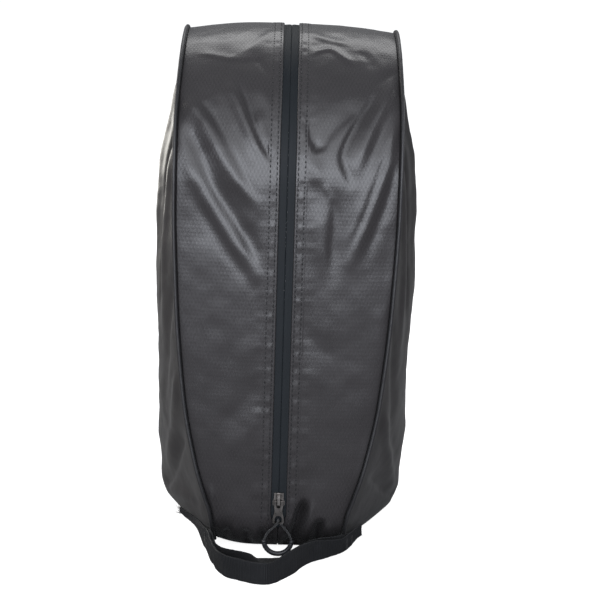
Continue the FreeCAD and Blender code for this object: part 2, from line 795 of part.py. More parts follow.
def build_pull_cord():
    """A cord from one end of the grip, round the bar of the tab, to the grip's other end."""
    grip_r, grip_z = dims.arc_r.value, dims.arc_z.value
    bar_z = (dims.pull_z - dims.tab_len).value + CORD_BAR_H
    # x, y from the tab's middle plane (minus is in front), z
    stations = [
        (-grip_r + 0.25, 0.0, grip_z - 1.6),
        (-grip_r + 0.35, 0.0, grip_z + 1.2),
        (-7.6, -0.5, grip_z + 6.6),
        (-3.4, -1.3, grip_z + 11.2),
        (-0.9, -1.62, bar_z - 1.2),
        (-0.35, -1.45, bar_z + 0.6),
        (0.0, 0.0, bar_z + 1.5),
        (0.35, 1.43, bar_z + 0.6),
        (0.9, 1.5, bar_z - 1.2),
        (3.4, 1.25, grip_z + 11.2),
        (7.6, 0.5, grip_z + 6.6),
        (grip_r - 0.35, 0.0, grip_z + 1.2),
        (grip_r - 0.25, 0.0, grip_z - 1.6),
    ]
    curve = curve_through([V(x, y - dims.pull_y.value, z) for x, y, z in stations])
    path = feature("cord_path", curve.toShape())
    start = curve.FirstParameter
    ring = doc.addObject("Part::Circle", "cord_ring")
    bind(ring, "Radius", dims.cord_r)
    ring.Placement = FreeCAD.Placement(
        curve.value(start), FreeCAD.Rotation(V(0, 0, 1), curve.tangent(start)[0])
    )
    cord = doc.addObject("Part::Sweep", "pull_cord_sweep")
    cord.Sections = [ring]
    cord.Spine = (path, ["Edge1"])
    cord.Solid = True
    cord.Frenet = False
    keep("pull_cord", cord)
    return cord


def build_pull_grip(cord):
    """The lower half of a ring, hollowed where the cord's ends go in."""
    torus = doc.addObject("Part::Torus", "pull_grip_torus")
    bind(torus, "Radius1", dims.arc_r)
    bind(torus, "Radius2", dims.arc_tube_r)
    torus.Angle3 = 188
    upright = FreeCAD.Rotation(V(1, 0, 0), 90)
    start_turn = FreeCAD.Rotation(V(0, 0, 1), 176)
    torus.Placement = FreeCAD.Placement(V(0, 0, 0), upright.multiply(start_turn))
    bind(torus, "Placement.Base.y", -dims.pull_y)
    bind(torus, "Placement.Base.z", dims.arc_z)
    keep("pull_grip", boolean("Cut", "pull_grip_cut", torus, cord))


# ---------------------------------------------------------------- hand loop in front of the base
loop_y = -dims.loop_y.value
web_width = dims.web_w.value
TAIL_H = 12.0  # height of the webbing tails
WEB_STEPS = 40  # spaces between a band's sections

# Centre lines of the bands, seen from above: (x, y)
OUTER_WEB = [
    (-54.8, loop_y), (-52.6, -120.0), (-49.5, -133.0), (-45.5, -146.0), (-38.5, -157.0),
    (-25.0, -166.5), (-11.0, -171.0), (0.0, -166.5), (9.0, -152.5), (21.0, -136.5),
    (34.0, -125.8), (48.0, -118.6), (56.0, loop_y),
]
INNER_WEB = [
    (-52.4, loop_y - 0.2), (-50.0, -121.5), (-45.5, -133.5), (-37.0, -142.5), (-26.0, -147.5),
    (-15.0, -149.8), (-5.0, -150.0), (3.0, -148.6), (10.0, -143.2), (16.0, -136.2),
    (24.0, -128.4), (34.5, -121.6), (44.5, -116.6), (51.6, loop_y - 0.2),
]
LEFT_TAIL = [
    (-54.9, loop_y + 0.5), (-57.6, -101.0), (-61.0, -87.0), (-67.0, -71.5),
    (-75.5, -56.0), (-84.0, -42.5), (-91.5, -31.5),
]
RIGHT_TAIL = [
    (56.1, loop_y + 0.5), (58.0, -101.0), (61.0, -87.0), (65.5, -75.5), (71.5, -65.0),
]
# label, object name, centre line, height
WEB_BANDS = [
    ("loop_outer_web", "loop_outer", OUTER_WEB, web_width),
    ("loop_inner_web", "loop_inner", INNER_WEB, web_width - 3.0),
    ("loop_tail_left", "loop_tail_l", LEFT_TAIL, TAIL_H),
    ("loop_tail_right", "loop_tail_r", RIGHT_TAIL, TAIL_H),
]
TACK_SIZE = (0.7, 1.6, 9.0)
TACK_OUT = 2.2  # middle of a tack outside the tail's centre line
# Where the tacks sit on the tails: x of the centre line, y of the tack's front
TACKS = [(-55.9, -106.0), (-58.2, -97.0), (56.9, -106.0), (58.6, -97.0)]


def web_band(name, points, height):
    """Webbing on edge along a centre line."""
    curve = curve_through([V(x, y, 0) for x, y in points])
    first, last = curve.FirstParameter, curve.LastParameter
    low = V(0, 0, dims.web_foot_z.value)
    high = low + V(0, 0, height)
    sections = []
    for i in range(WEB_STEPS + 1):
        u = first + (last - first) * i / WEB_STEPS
        q = curve.value(u)
        along = curve.tangent(u)[0]
        side = V(-along.y, along.x, 0) * (dims.web_thk.value / 2.0)
        sections.append([q - side + low, q + side + low, q + side + high, q - side + high])
    return feature(name, ribbon_solid(sections))


def build_hand_loop():
    for label, name, points, height in WEB_BANDS:
        keep(label, web_band(name, points, height))
    tacks = []
    for i, (x, y) in enumerate(TACKS):
        middle = x + math.copysign(TACK_OUT, x)
        corner = (middle - TACK_SIZE[0] / 2, y, dims.web_foot_z + 1.5)
        tacks.append(block("tack_%d" % i, TACK_SIZE, corner))
    keep_group("loop_bartacks", tacks)


# ---------------------------------------------------------------- build
build_gusset()
build_side_panels()
build_piping()
build_seam_bindings()
build_base()
build_zip()
build_stops()
build_slider_body()
build_bridge()
build_lock_pin()
build_pull_tab()
build_pull_grip(build_pull_cord())
build_hand_loop()
doc.recompute()

# ---------------------------------------------------------------- checks, then export
bad = []
for obj in doc.Objects:
    if "Invalid" in obj.State or "Error" in obj.State:
        bad.append("%s (%s): %s" % (obj.Name, obj.Label, obj.State))
for label, obj in nodes.items():
    shape = obj.Shape
    if shape.isNull():
        bad.append("%s: null shape" % label)
    elif not shape.isValid() or not shape.Solids:
        bad.append("%s: valid %s solids %d" % (label, shape.isValid(), len(shape.Solids)))
    elif shape.Volume <= 0:
        bad.append("%s: volume %.3f" % (label, shape.Volume))
if bad:
    raise RuntimeError("; ".join(bad))
os.makedirs("parts", exist_ok=True)
for label, obj in nodes.items():
    obj.Shape.exportStep(os.path.join("parts", label + ".step"))
print("wrote %d parts" % len(nodes))
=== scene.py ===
"""A soft zipped bag that stands on the floor, z up, with its front towards -y.

A gusset runs up the front, over the arched top and down the back, split by the zip at x = 0.
A side panel with a piped seam closes each side (left is -x). A flat base, a webbing hand loop
at the front foot, and a zip slider with a cord pull complete it. Shapes are worked out in
millimetres and turned into metres when a mesh is made. "arc" is always the length along the
gusset's middle line from its front foot.
"""
import functools
import math

import bmesh
import bpy
import numpy as np
from mathutils import Matrix, Vector


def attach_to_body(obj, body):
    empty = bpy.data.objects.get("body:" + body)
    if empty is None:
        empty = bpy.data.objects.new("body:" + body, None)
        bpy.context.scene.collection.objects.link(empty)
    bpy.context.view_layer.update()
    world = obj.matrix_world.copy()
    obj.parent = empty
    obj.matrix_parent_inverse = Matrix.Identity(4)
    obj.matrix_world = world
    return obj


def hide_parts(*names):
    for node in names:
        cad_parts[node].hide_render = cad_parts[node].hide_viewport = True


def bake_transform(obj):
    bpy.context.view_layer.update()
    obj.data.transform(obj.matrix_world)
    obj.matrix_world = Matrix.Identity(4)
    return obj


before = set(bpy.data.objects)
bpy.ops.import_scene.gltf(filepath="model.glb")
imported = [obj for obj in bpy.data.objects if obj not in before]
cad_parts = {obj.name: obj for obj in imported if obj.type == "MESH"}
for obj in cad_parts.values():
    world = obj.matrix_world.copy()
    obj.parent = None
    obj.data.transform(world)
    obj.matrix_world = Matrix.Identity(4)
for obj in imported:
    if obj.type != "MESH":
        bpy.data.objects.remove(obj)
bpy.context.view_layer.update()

MM = 0.001
SIDE_NAMES = {-1: "left", 1: "right"}

# ---------------------------------------------------------------- shape of the bag
# Profiles against height, as (z, value).
SEAM_X = np.array([  # from the middle of the gusset to its seam
    (0, 48.0), (31, 51.5), (46, 56.0), (75, 64.0), (124, 73.0), (200, 79.5), (275, 82.0),
    (330, 82.0), (395, 80.0)])
BULGE = np.array([  # how far a side panel stands out from its seam
    (0, 44.0), (20, 46.5), (55, 40.8), (90, 33.0), (140, 26.0), (200, 22.0), (256, 19.0),
    (288, 16.5), (320, 12.0), (350, 6.5), (375, 2.5), (395, 0.6)])
ROUND = np.array([(0, 0.16), (60, 0.3), (150, 0.8), (395, 0.9)])  # roundness of that bulge

ARCH_R, ARCH_Z = 110.0, 285.0  # top arch, seen from the side
TOE_R, TOE_Z = 33.3, 32.0  # curve under the front and back feet
FOOT_Z = 1.4
CLOTH = 0.9  # thickness
TOE_ANGLE = math.asin((TOE_Z - FOOT_Z) / TOE_R)
ARC_TOE = TOE_R * TOE_ANGLE
ARC_WALL = ARCH_Z - TOE_Z
ARC_END = 2 * (ARC_TOE + ARC_WALL) + math.pi * ARCH_R

HEM_X = 5.7  # hem beside the zip
HEM_CLOTH = 1.6  # doubled cloth of the hem
ROW_A, ROW_B, PITCH = 7.8, 12.8, 3.8  # two rows of stitches and their step

# The mouth: the part of the zip line that bends open at the front.
MOUTH_LOW, MOUTH_MID, MOUTH_TOP = 66.0, 135.0, 204.0  # heights


def arc_at(z):
    """Arc at a height on the front wall."""
    return ARC_TOE + z - TOE_Z


ARC_LOW, ARC_MID, ARC_TOP = arc_at(MOUTH_LOW), arc_at(MOUTH_MID), arc_at(MOUTH_TOP)
# Strips along the gusset: (name, part: root strips are fixed to the bag, the others stay in place,
# first arc, last arc)
STRIPS = (
    ("foot", "root", 0.0, ARC_LOW),
    ("low", "low", ARC_LOW, ARC_MID),
    ("up", "up", ARC_MID, ARC_TOP),
    ("top", "root", ARC_TOP, ARC_END),
)


def curve(table, x):
    """Smooth curve through the table's points, without overshoot."""
    knots, values = table[:, 0], table[:, 1]
    x = np.clip(np.asarray(x, float), knots[0], knots[-1])
    slopes = np.diff(values) / np.diff(knots)
    tangents = np.empty(len(knots))
    tangents[0], tangents[-1] = slopes[0], slopes[-1]
    before, after = slopes[:-1], slopes[1:]
    with np.errstate(divide="ignore", invalid="ignore"):
        harmonic = 2 * before * after / (before + after)
        tangents[1:-1] = np.where(before * after <= 0, 0.0, harmonic)
    i = np.clip(np.searchsorted(knots, x, side="right") - 1, 0, len(knots) - 2)
    width = knots[i + 1] - knots[i]
    t = (x - knots[i]) / width
    return (values[i] * (1 + 2 * t) * (1 - t) ** 2 + tangents[i] * width * t * (1 - t) ** 2
            + values[i + 1] * t * t * (3 - 2 * t) + tangents[i + 1] * width * t * t * (t - 1))


def smooth_step(start, end, x):
    t = np.clip((np.asarray(x, float) - start) / (end - start), 0, 1)
    return t * t * (3 - 2 * t)


def bell(offset, width):
    return np.exp(-((offset / width) ** 2))


def unit(vectors):
    return vectors / np.linalg.norm(vectors, axis=-1, keepdims=True)


def seam_x(z):
    return curve(SEAM_X, z)


def crown(x, z):
    """How far the gusset falls away towards its seams, more so near the feet."""
    top, foot = 6.0 / 64.0**2, 14.0 / 30.0**2
    strength = top + (foot - top) * np.maximum(0.0, 1 - z / 70.0) ** 2
    return strength * np.maximum(0.0, np.abs(x) - 18.0) ** 2


def outline(arc):
    """(y, z, normal y, normal z) of the gusset's middle line."""
    arc = np.asarray(arc, float)
    back = arc > ARC_END / 2
    climb = np.where(back, ARC_END - arc, arc)
    toe_turn = TOE_ANGLE * (1 - np.clip(climb / ARC_TOE, 0, 1))
    arch_turn = np.maximum(0.0, (climb - ARC_TOE - ARC_WALL) / ARCH_R)
    on_toe = climb < ARC_TOE
    toe_y = -(ARCH_R - TOE_R) - TOE_R * np.cos(toe_turn)
    y = np.where(on_toe, toe_y, -ARCH_R * np.cos(arch_turn))
    above = np.where(climb < ARC_TOE + ARC_WALL, TOE_Z + climb - ARC_TOE,
                     ARCH_Z + ARCH_R * np.sin(arch_turn))
    z = np.where(on_toe, TOE_Z - TOE_R * np.sin(toe_turn), above)
    sign = np.where(back, -1.0, 1.0)
    return y * sign, z, -np.cos(arch_turn) * sign, np.sin(arch_turn)


def rim_fraction(y, z):
    """0 at the middle of a side panel, 1 at its seam."""
    low_z = np.minimum(z, ARCH_Z)
    toe = ARCH_R - TOE_R + np.sqrt(np.maximum(0.0, TOE_R**2 - (TOE_Z - low_z) ** 2))
    depth = np.where(low_z < TOE_Z, toe, ARCH_R) - crown(seam_x(low_z), low_z)
    arch = np.hypot(y, z - ARCH_Z) / (ARCH_R - crown(seam_x(z), z))
    return np.where(z <= ARCH_Z, np.abs(y) / depth, arch)


def side_x(y, z):
    rim = rim_fraction(y, z)
    soft = curve(ROUND, z)
    peak = np.sqrt(1 + soft * soft)
    return seam_x(z) + curve(BULGE, z) * (peak - np.sqrt(rim * rim + soft * soft)) / (peak - soft)


# ---------------------------------------------------------------- smooth noise and folds
@functools.lru_cache(maxsize=None)
def lattice(seed):
    return np.random.default_rng(seed).uniform(-1, 1, (128, 128))


def ease(t):
    return t**3 * (t * (6 * t - 15) + 10)


def noise(x, y, size, seed):
    """Smooth noise from -1 to 1 with features of the given size."""
    grid = lattice(seed)
    x, y = np.asarray(x, float) / size, np.asarray(y, float) / size
    i, j = np.floor(x).astype(int), np.floor(y).astype(int)
    mix_x, mix_y = ease(x - i), ease(y - j)
    i, next_i, j, next_j = i % 128, (i + 1) % 128, j % 128, (j + 1) % 128
    low = grid[i, j] * (1 - mix_x) + grid[next_i, j] * mix_x
    high = grid[i, next_j] * (1 - mix_x) + grid[next_i, next_j] * mix_x
    return low * (1 - mix_y) + high * mix_y


def layered_noise(x, y, size, seed, octaves=3):
    total, strength = 0.0, 1.0
    for k in range(octaves):
        total = total + strength * noise(x + 13.7 * k, y - 7.1 * k, size / 2**k, seed + k)
        strength *= 0.5
    return total


def catmull(points, steps):
    """Smooth line through the points, in any number of columns."""
    pts = np.array(points, float)
    pts = np.vstack([2 * pts[0] - pts[1], pts, 2 * pts[-1] - pts[-2]])
    line = []
    for a, b, c, d in zip(pts, pts[1:], pts[2:], pts[3:]):
        for t in np.linspace(0, 1, steps, endpoint=False):
            line.append(0.5 * (2 * b + (c - a) * t + (2 * a - 5 * b + 4 * c - d) * t**2
                               + (3 * b - a - 3 * c + d) * t**3))
    line.append(pts[-2])
    return np.array(line)


def run_length(line):
    return np.r_[0, np.cumsum(np.linalg.norm(np.diff(line, axis=0), axis=1))]


def fold(x, y, points, height, widths, ends, lean):
    """A crease along a smooth line, sunken where the height is negative.

    widths holds it at the start and end, and ends the share of the line over which each end
    fades. A positive lean widens the flank left of the line's direction.
    """
    line = catmull(points, 6)
    run = run_length(line)
    lengths = np.diff(run)
    reach = 3.2 * max(widths)
    low, high = line.min(0) - reach, line.max(0) + reach
    out = np.zeros(np.shape(x))
    near = (x > low[0]) & (x < high[0]) & (y > low[1]) & (y < high[1])
    if not near.any():
        return out
    near_x, near_y = x[near], y[near]
    best = np.full(near_x.shape, 1e9)
    pos, flank = np.zeros(near_x.shape), np.zeros(near_x.shape)
    for k, length in enumerate(lengths):
        start_x, start_y = line[k]
        step_x, step_y = line[k + 1] - line[k]
        off_x, off_y = near_x - start_x, near_y - start_y
        t = np.clip((off_x * step_x + off_y * step_y) / (length**2 + 1e-9), 0, 1)
        off_x, off_y = off_x - t * step_x, off_y - t * step_y
        distance = np.hypot(off_x, off_y)
        hit = distance < best
        best = np.where(hit, distance, best)
        pos = np.where(hit, (run[k] + t * length) / run[-1], pos)
        flank = np.where(hit, np.sign(step_x * off_y - step_y * off_x), flank)
    width = (widths[0] + (widths[1] - widths[0]) * pos) * (1 + lean * flank)
    taper = 1.0
    if ends[0] > 0:
        taper = taper * smooth_step(0, ends[0], pos)
    if ends[1] > 0:
        taper = taper * smooth_step(0, ends[1], 1 - pos)
    out[near] = height * taper * bell(best, width)
    return out


def all_folds(x, y, table):
    return sum((fold(x, y, *entry) for entry in table), np.zeros(np.shape(x)))


# Folds: (line, height, widths, ends, lean). The gusset's lines are (x, arc from the near foot).
FRONT = [
    # upper front, left of the zip
    ([(-78, 366), (-74.3, 357), (-65.5, 346.5), (-51.1, 324.2), (-36.9, 300.2), (-24.4, 282.3),
      (-12, 262)], 3.4, (6.5, 5), (0.15, 0.35), 0),
    ([(-78, 345), (-66.1, 317.8), (-54.9, 294.9), (-44, 277), (-31.4, 259), (-10, 221)],
     -2.7, (5, 4.4), (0.2, 0.3), 0.2),
    ([(-76.1, 318), (-65.6, 294), (-50, 268), (-32.8, 243), (-14, 214)],
     1.7, (5, 4), (0.2, 0.35), 0),
    ([(-76, 296), (-62, 274), (-47, 250), (-30, 226), (-13, 200)], -0.9, (4.5, 4), (0.3, 0.35), 0),
    ([(-72, 362), (-61, 351), (-50, 335), (-40.3, 315.2), (-29.2, 295.9), (-16, 276)],
     -2, (3, 3.6), (0.2, 0.3), -0.2),
    ([(-50, 374), (-44, 367), (-37.5, 355), (-30.5, 338), (-22.5, 322.7), (-12, 306)],
     2.7, (4.4, 3.2), (0.2, 0.3), -0.25),
    ([(-40, 376), (-33, 358), (-27, 341), (-21, 327), (-13.5, 314), (-7.5, 302)],
     -2, (2.8, 2.2), (0.25, 0.25), 0.2),
    ([(-24, 350), (-20, 334), (-13, 324), (-8, 318)], 1.6, (4, 3), (0.3, 0.1), 0),
    ([(-26, 376), (-20, 362), (-13, 352), (-8.5, 344)], 0.9, (4, 3), (0.3, 0.2), 0),
    # upper front, right of the zip
    ([(8, 357), (12, 342), (17, 328), (22, 317)], -2.2, (4, 2.4), (0.3, 0.12), 0.2),
    ([(58, 357), (49.2, 352.5), (31.4, 335.1), (22.5, 318.2)], -1.7, (6, 3), (0.3, 0.1), -0.3),
    ([(8, 330), (12, 318), (18, 306), (30, 292)], 2.2, (5, 5), (0.15, 0.5), 0),
    ([(79, 385), (73.6, 371), (61.6, 340.3), (53, 317.9), (46.3, 296)],
     2.6, (3.6, 4.4), (0.2, 0.3), 0),
    ([(66, 372), (58, 356), (46.9, 336), (39.6, 317), (44.1, 302), (48.5, 290)],
     -2.3, (3.4, 2.4), (0.25, 0.25), 0.2),
    ([(81, 356), (76, 331), (65.8, 293), (54.5, 259.5), (41, 220)],
     3.1, (4.6, 4.4), (0.2, 0.35), -0.1),
    ([(76, 334), (69.7, 313), (58.8, 277.6), (47.4, 248), (42, 236)],
     -2.4, (2.8, 3.2), (0.25, 0.35), 0.2),
    ([(28.1, 296), (33.2, 286), (35.4, 271.6), (34.5, 246), (35.4, 216)],
     -1.5, (2.6, 4.6), (0.3, 0.45), 0.2),
    ([(25, 297), (30.5, 288), (34.6, 279)], 0.6, (1.2, 1.6), (0.35, 0.35), 0.2),
    ([(20, 284), (24, 268), (26, 244), (27, 216)], 1.5, (5, 5.5), (0.3, 0.5), 0),
    ([(80, 318), (75, 292), (66, 262), (56, 232)], -1.2, (3.4, 3.4), (0.3, 0.4), 0),
    # crumples towards the top
    ([(12, 399), (20, 405), (29, 408.2), (36, 402), (42.9, 394.8), (52, 390)],
     1.5, (2.6, 2.6), (0.2, 0.3), 0.45),
    ([(8, 440), (18.1, 428), (33.8, 419.7), (52.4, 413.7)], 1.1, (4, 4), (0.2, 0.4), 0.3),
    ([(50, 412), (58, 400), (62, 388)], -0.9, (3.5, 3), (0.3, 0.3), 0),
    ([(-8, 442), (-19.4, 426), (-28.3, 409.8), (-41.5, 393.5)], 1.2, (4.5, 4.5), (0.2, 0.3), 0.3),
    ([(-71, 405), (-58.8, 400), (-41.5, 394.5), (-24.7, 396.5)],
     0.9, (2.6, 2.6), (0.25, 0.2), 0.4),
    ([(-26, 397), (-18.2, 384), (-12.4, 374.2)], -1.2, (2.6, 2.2), (0.2, 0.3), 0),
    ([(58, 370), (70.6, 382.6), (79.5, 391.7)], -1, (3, 3), (0.3, 0.15), 0.3),
    ([(10, 392), (18, 380), (30, 372)], -0.8, (3.5, 4.5), (0.2, 0.3), 0),
    # soft pulls lower down
    ([(-10, 152), (-27.1, 131), (-43.3, 108.4), (-52, 92)], -0.8, (5, 7), (0.15, 0.4), 0),
    ([(-9.3, 124), (-24.9, 105.8), (-37.9, 86)], 0.8, (5, 6), (0.15, 0.4), 0),
    ([(7, 193), (19.5, 179), (36.3, 166.1), (52, 158)], -0.8, (4.5, 7), (0.15, 0.4), 0),
    ([(8, 158), (22, 150), (38, 146)], 0.6, (4, 6), (0.15, 0.5), 0),
    ([(-9, 182), (-22, 172), (-40, 160)], 0.7, (5, 7), (0.15, 0.5), 0),
    # gathers where the front turns under the base
    ([(9, 4), (12, 24), (15.5, 39), (18.6, 50), (20, 55)], -4.6, (5.4, 3), (0, 0.22), -0.2),
    ([(22.5, 6), (23.2, 26), (24.6, 42), (26, 56)], 0.6, (3.6, 2.6), (0, 0.3), 0),
    ([(30, 3), (30.5, 20), (31.5, 31), (34, 39)], -3.6, (4.8, 2.8), (0, 0.25), 0.15),
    ([(39, 8), (39, 26), (37.8, 36)], 0.7, (3.8, 2.2), (0, 0.3), 0),
    ([(-23, 2), (-24, 17), (-25, 29)], -3, (5, 3), (0, 0.3), 0),
    ([(-33, 5), (-33.5, 22), (-31, 34)], 0.7, (4.2, 2.4), (0, 0.3), 0),
    ([(-41, 4), (-40, 18), (-37.5, 28)], -2, (3.4, 2), (0, 0.3), 0),
    ([(-11.5, 2), (-11.5, 18), (-10.6, 31)], -2.4, (3.6, 2.4), (0, 0.3), 0),
    ([(-17, 4), (-17.6, 20), (-17.2, 32)], 0.5, (3.4, 2.2), (0, 0.3), 0),
    ([(-4.6, 2), (-4.3, 14), (-3.4, 26)], -1, (2.2, 1.6), (0, 0.3), 0),
    ([(4.4, 2), (4.6, 13), (5.4, 24)], -1.1, (2, 1.5), (0, 0.3), 0),
    ([(-53, 66), (-50.6, 44), (-46.6, 20)], 1, (3, 3), (0.3, 0.1), 0),
]
BACK = [
    ([(-76, 340), (-58, 312), (-38, 286), (-12, 262)], 2.6, (6, 5), (0.15, 0.35), 0),
    ([(-76, 318), (-56, 288), (-34, 262), (-12, 236)], -2.2, (4, 4), (0.2, 0.35), 0.2),
    ([(-60, 376), (-44, 352), (-28, 330), (-12, 318)], -1.6, (4, 3), (0.2, 0.35), 0),
    ([(78, 352), (62, 318), (46, 290), (22, 262)], 2.5, (5, 5), (0.15, 0.35), 0),
    ([(78, 326), (60, 292), (42, 262), (16, 238)], -2, (4, 4), (0.2, 0.35), 0.2),
    ([(70, 388), (50, 366), (32, 344), (12, 326)], -1.4, (4, 3), (0.2, 0.35), 0),
    ([(-9, 170), (-28, 152), (-50, 138)], -0.9, (5, 7), (0.15, 0.4), 0),
    ([(9, 150), (30, 132), (52, 122)], -0.9, (5, 7), (0.15, 0.4), 0),
    # gathers at the foot
    ([(-16, 4), (-15, 24), (-12, 46)], -3.2, (3.6, 1.8), (0, 0.25), 0),
    ([(-30, 4), (-29, 20), (-27, 34)], -2.4, (3.6, 2), (0, 0.25), 0),
    ([(14, 4), (15, 20), (17, 38)], -2.8, (3.6, 1.8), (0, 0.25), 0),
    ([(32, 4), (31, 24), (27, 44)], -3.2, (3.6, 1.8), (0, 0.25), 0),
    ([(-23, 4), (-22, 22), (-20, 38)], 1.8, (3.8, 2.2), (0, 0.3), 0),
    ([(23, 4), (23, 22), (22, 38)], 1.8, (3.8, 2.2), (0, 0.3), 0),
]
# Side panels, by side. These lines are (y, z).
SIDE_FOLDS = {
    -1: [
        ([(-98, 318), (-78, 262), (-66, 200), (-62, 140)], 3, (7, 10), (0.15, 0.4), 0.2),
        ([(-88, 344), (-62, 282), (-50, 210), (-44, 150)], -3.4, (6, 8), (0.15, 0.4), -0.2),
        ([(-60, 370), (-42, 310), (-30, 240), (-18, 170)], 2.8, (9, 12), (0.15, 0.4), 0.2),
        ([(-104, 240), (-84, 190), (-70, 140), (-56, 96)], -2.4, (5, 8), (0.15, 0.4), 0.2),
        ([(-100, 150), (-80, 104), (-52, 60), (-24, 24)], 2.2, (6, 9), (0.2, 0.3), 0),
        ([(-97, 96), (-70, 66), (-38, 34), (-8, 10)], -2.6, (5, 6), (0.2, 0.15), 0.2),
        ([(-86, 34), (-56, 26), (-24, 14)], 1.6, (5, 5), (0.2, 0.2), 0),
        ([(96, 300), (70, 230), (52, 160), (40, 90)], 3, (8, 11), (0.15, 0.4), 0.2),
        ([(70, 360), (46, 290), (30, 210), (20, 130)], -3, (7, 10), (0.15, 0.4), 0),
        ([(100, 180), (74, 120), (40, 62), (10, 14)], -2.6, (6, 8), (0.2, 0.2), 0.2),
        ([(90, 60), (56, 40), (18, 14)], 1.8, (5, 6), (0.2, 0.2), 0),
    ],
    1: [
        ([(-100, 300), (-82, 240), (-74, 180), (-70, 128)], 3, (6, 9), (0.15, 0.4), 0.2),
        ([(-92, 338), (-70, 270), (-58, 205), (-52, 150)], -3.2, (5, 8), (0.15, 0.4), -0.2),
        ([(-66, 366), (-48, 300), (-38, 230), (-30, 160)], 2.4, (9, 12), (0.15, 0.4), 0.2),
        ([(-104, 210), (-90, 160), (-74, 112), (-60, 70)], -2.2, (5, 7), (0.15, 0.4), 0.2),
        ([(-98, 120), (-74, 84), (-44, 46), (-14, 14)], 2.6, (6, 7), (0.2, 0.2), 0),
        ([(-92, 62), (-62, 44), (-30, 22), (-6, 8)], -2.4, (5, 5), (0.2, 0.15), 0.2),
        ([(94, 310), (68, 240), (50, 170), (36, 100)], 3, (8, 11), (0.15, 0.4), 0.2),
        ([(74, 356), (48, 286), (34, 206), (24, 120)], -3, (7, 10), (0.15, 0.4), 0),
        ([(98, 170), (70, 116), (38, 60), (8, 12)], -2.6, (6, 8), (0.2, 0.2), 0.2),
        ([(88, 56), (54, 38), (20, 14)], 1.8, (5, 6), (0.2, 0.2), 0),
    ],
}


def softened(table):
    """Makes the gathers at the foot deeper, and the folds above them lower and wider."""
    out = []
    for points, height, widths, ends, lean in table:
        if max(p[1] for p in points) > 70:
            widths = tuple(max(2.8, width * 1.28) for width in widths)
            height = height * 0.74
        else:
            height = height * 1.7
        out.append((points, height, widths, ends, lean))
    return out


FRONT_SOFT, BACK_SOFT = softened(FRONT), softened(BACK)


def gusset_relief(x, arc):
    """How far the cloth of the gusset stands off its smooth shape."""
    off_zip = np.abs(x)
    to_foot = np.minimum(arc, ARC_END - arc)
    out = all_folds(x, arc, FRONT_SOFT) + all_folds(x, ARC_END - arc, BACK_SOFT)
    out += 0.50 * layered_noise(x, arc, 46, 3)
    out += 0.07 * layered_noise(x + 0.6 * arc, arc - 0.5 * x, 13, 11)
    # sharp little crumples near the top
    top = smooth_step(300, 360, arc) * (1 - smooth_step(ARC_END - 360, ARC_END - 300, arc))
    out += top * 0.35 * (0.5 - np.abs(layered_noise(x, arc, 24, 31, 2)))
    # folds fade out towards the hem and the seam; near the feet they come closer to the zip line
    near_foot = 1 - smooth_step(45, 85, to_foot)
    closed = 1 - smooth_step(24, 34, to_foot)
    clear = smooth_step(HEM_X + 0.8 + near_foot, 22 - 8.5 * near_foot, off_zip)
    out = out * (clear + (smooth_step(0.4, 3.4, off_zip) - clear) * closed)
    out = out * smooth_step(0, 7, seam_x(outline(arc)[1]) - off_zip)
    # the hem is drawn up between its two rows of stitches
    shift = np.where(x < 0, 17.0, 0.0)
    pucker = noise(arc + shift, 0 * arc + shift, 4.6, 41)
    pucker = pucker + 0.6 * noise(arc + shift, 0 * arc + 3, 9.5, 42)
    out += 0.24 * pucker * bell(off_zip - 10.2, 2.0) + 0.13 * pucker * bell(off_zip - 17.5, 4.0)
    # grooves along the needle rows
    beat = 0.75 + 0.25 * np.cos(2 * math.pi * arc / PITCH)
    out -= 0.26 * beat * bell(off_zip - ROW_A, 0.5) + 0.30 * beat * bell(off_zip - ROW_B, 0.55)
    # the doubled hem is thicker
    out += 0.28 * (1 - smooth_step(13.6, 15.0, off_zip))
    # the foot stays on the base seam
    return out * smooth_step(-2, 12, to_foot)


def off_outline(x, arc, drop):
    """Points a drop inward from the middle line, at x across."""
    y, z, normal_y, normal_z = outline(arc)
    return np.stack([x + 0 * y, y - normal_y * drop, z - normal_z * drop], -1)


def smooth_point(x, arc, inward=0.0):
    """Point on the gusset without its relief."""
    return off_outline(x, arc, crown(x, outline(arc)[1]) + inward)


def cloth_point(x, arc):
    return off_outline(x, arc, crown(x, outline(arc)[1]) - gusset_relief(x, arc))


def outward(arc):
    _, _, normal_y, normal_z = outline(arc)
    return np.stack([0 * normal_y, normal_y, normal_z], -1)


# ---------------------------------------------------------------- meshes
def add_object(name, data):
    ob = bpy.data.objects.new(name, data)
    bpy.context.scene.collection.objects.link(ob)
    return ob


def quad_mesh(name, verts, faces, uv, materials, normals=None, slots=None):
    """An object from quads. verts and uv (per vertex) are in millimetres."""
    mesh = bpy.data.meshes.new(name)
    verts = np.asarray(verts, np.float32)
    faces = np.asarray(faces, np.int32)
    mesh.vertices.add(len(verts))
    mesh.vertices.foreach_set("co", (verts * MM).astype(np.float32).ravel())
    mesh.loops.add(faces.size)
    mesh.loops.foreach_set("vertex_index", faces.ravel())
    mesh.polygons.add(len(faces))
    mesh.polygons.foreach_set("loop_start", np.arange(0, faces.size, 4, dtype=np.int32))
    mesh.polygons.foreach_set("use_smooth", np.ones(len(faces), bool))
    for material in materials:
        mesh.materials.append(material)
    if slots is not None:
        mesh.polygons.foreach_set("material_index", np.asarray(slots, np.int32))
    mesh.update(calc_edges=True)
    layer = mesh.uv_layers.new(name="cloth")
    corners = np.asarray(uv, np.float32)[faces.ravel()]
    layer.data.foreach_set("uv", (corners * MM).astype(np.float32).ravel())
    mesh.validate(clean_customdata=False)
    if normals is not None:
        mesh.normals_split_custom_set_from_vertices(normals.tolist())
    return add_object(name, mesh)


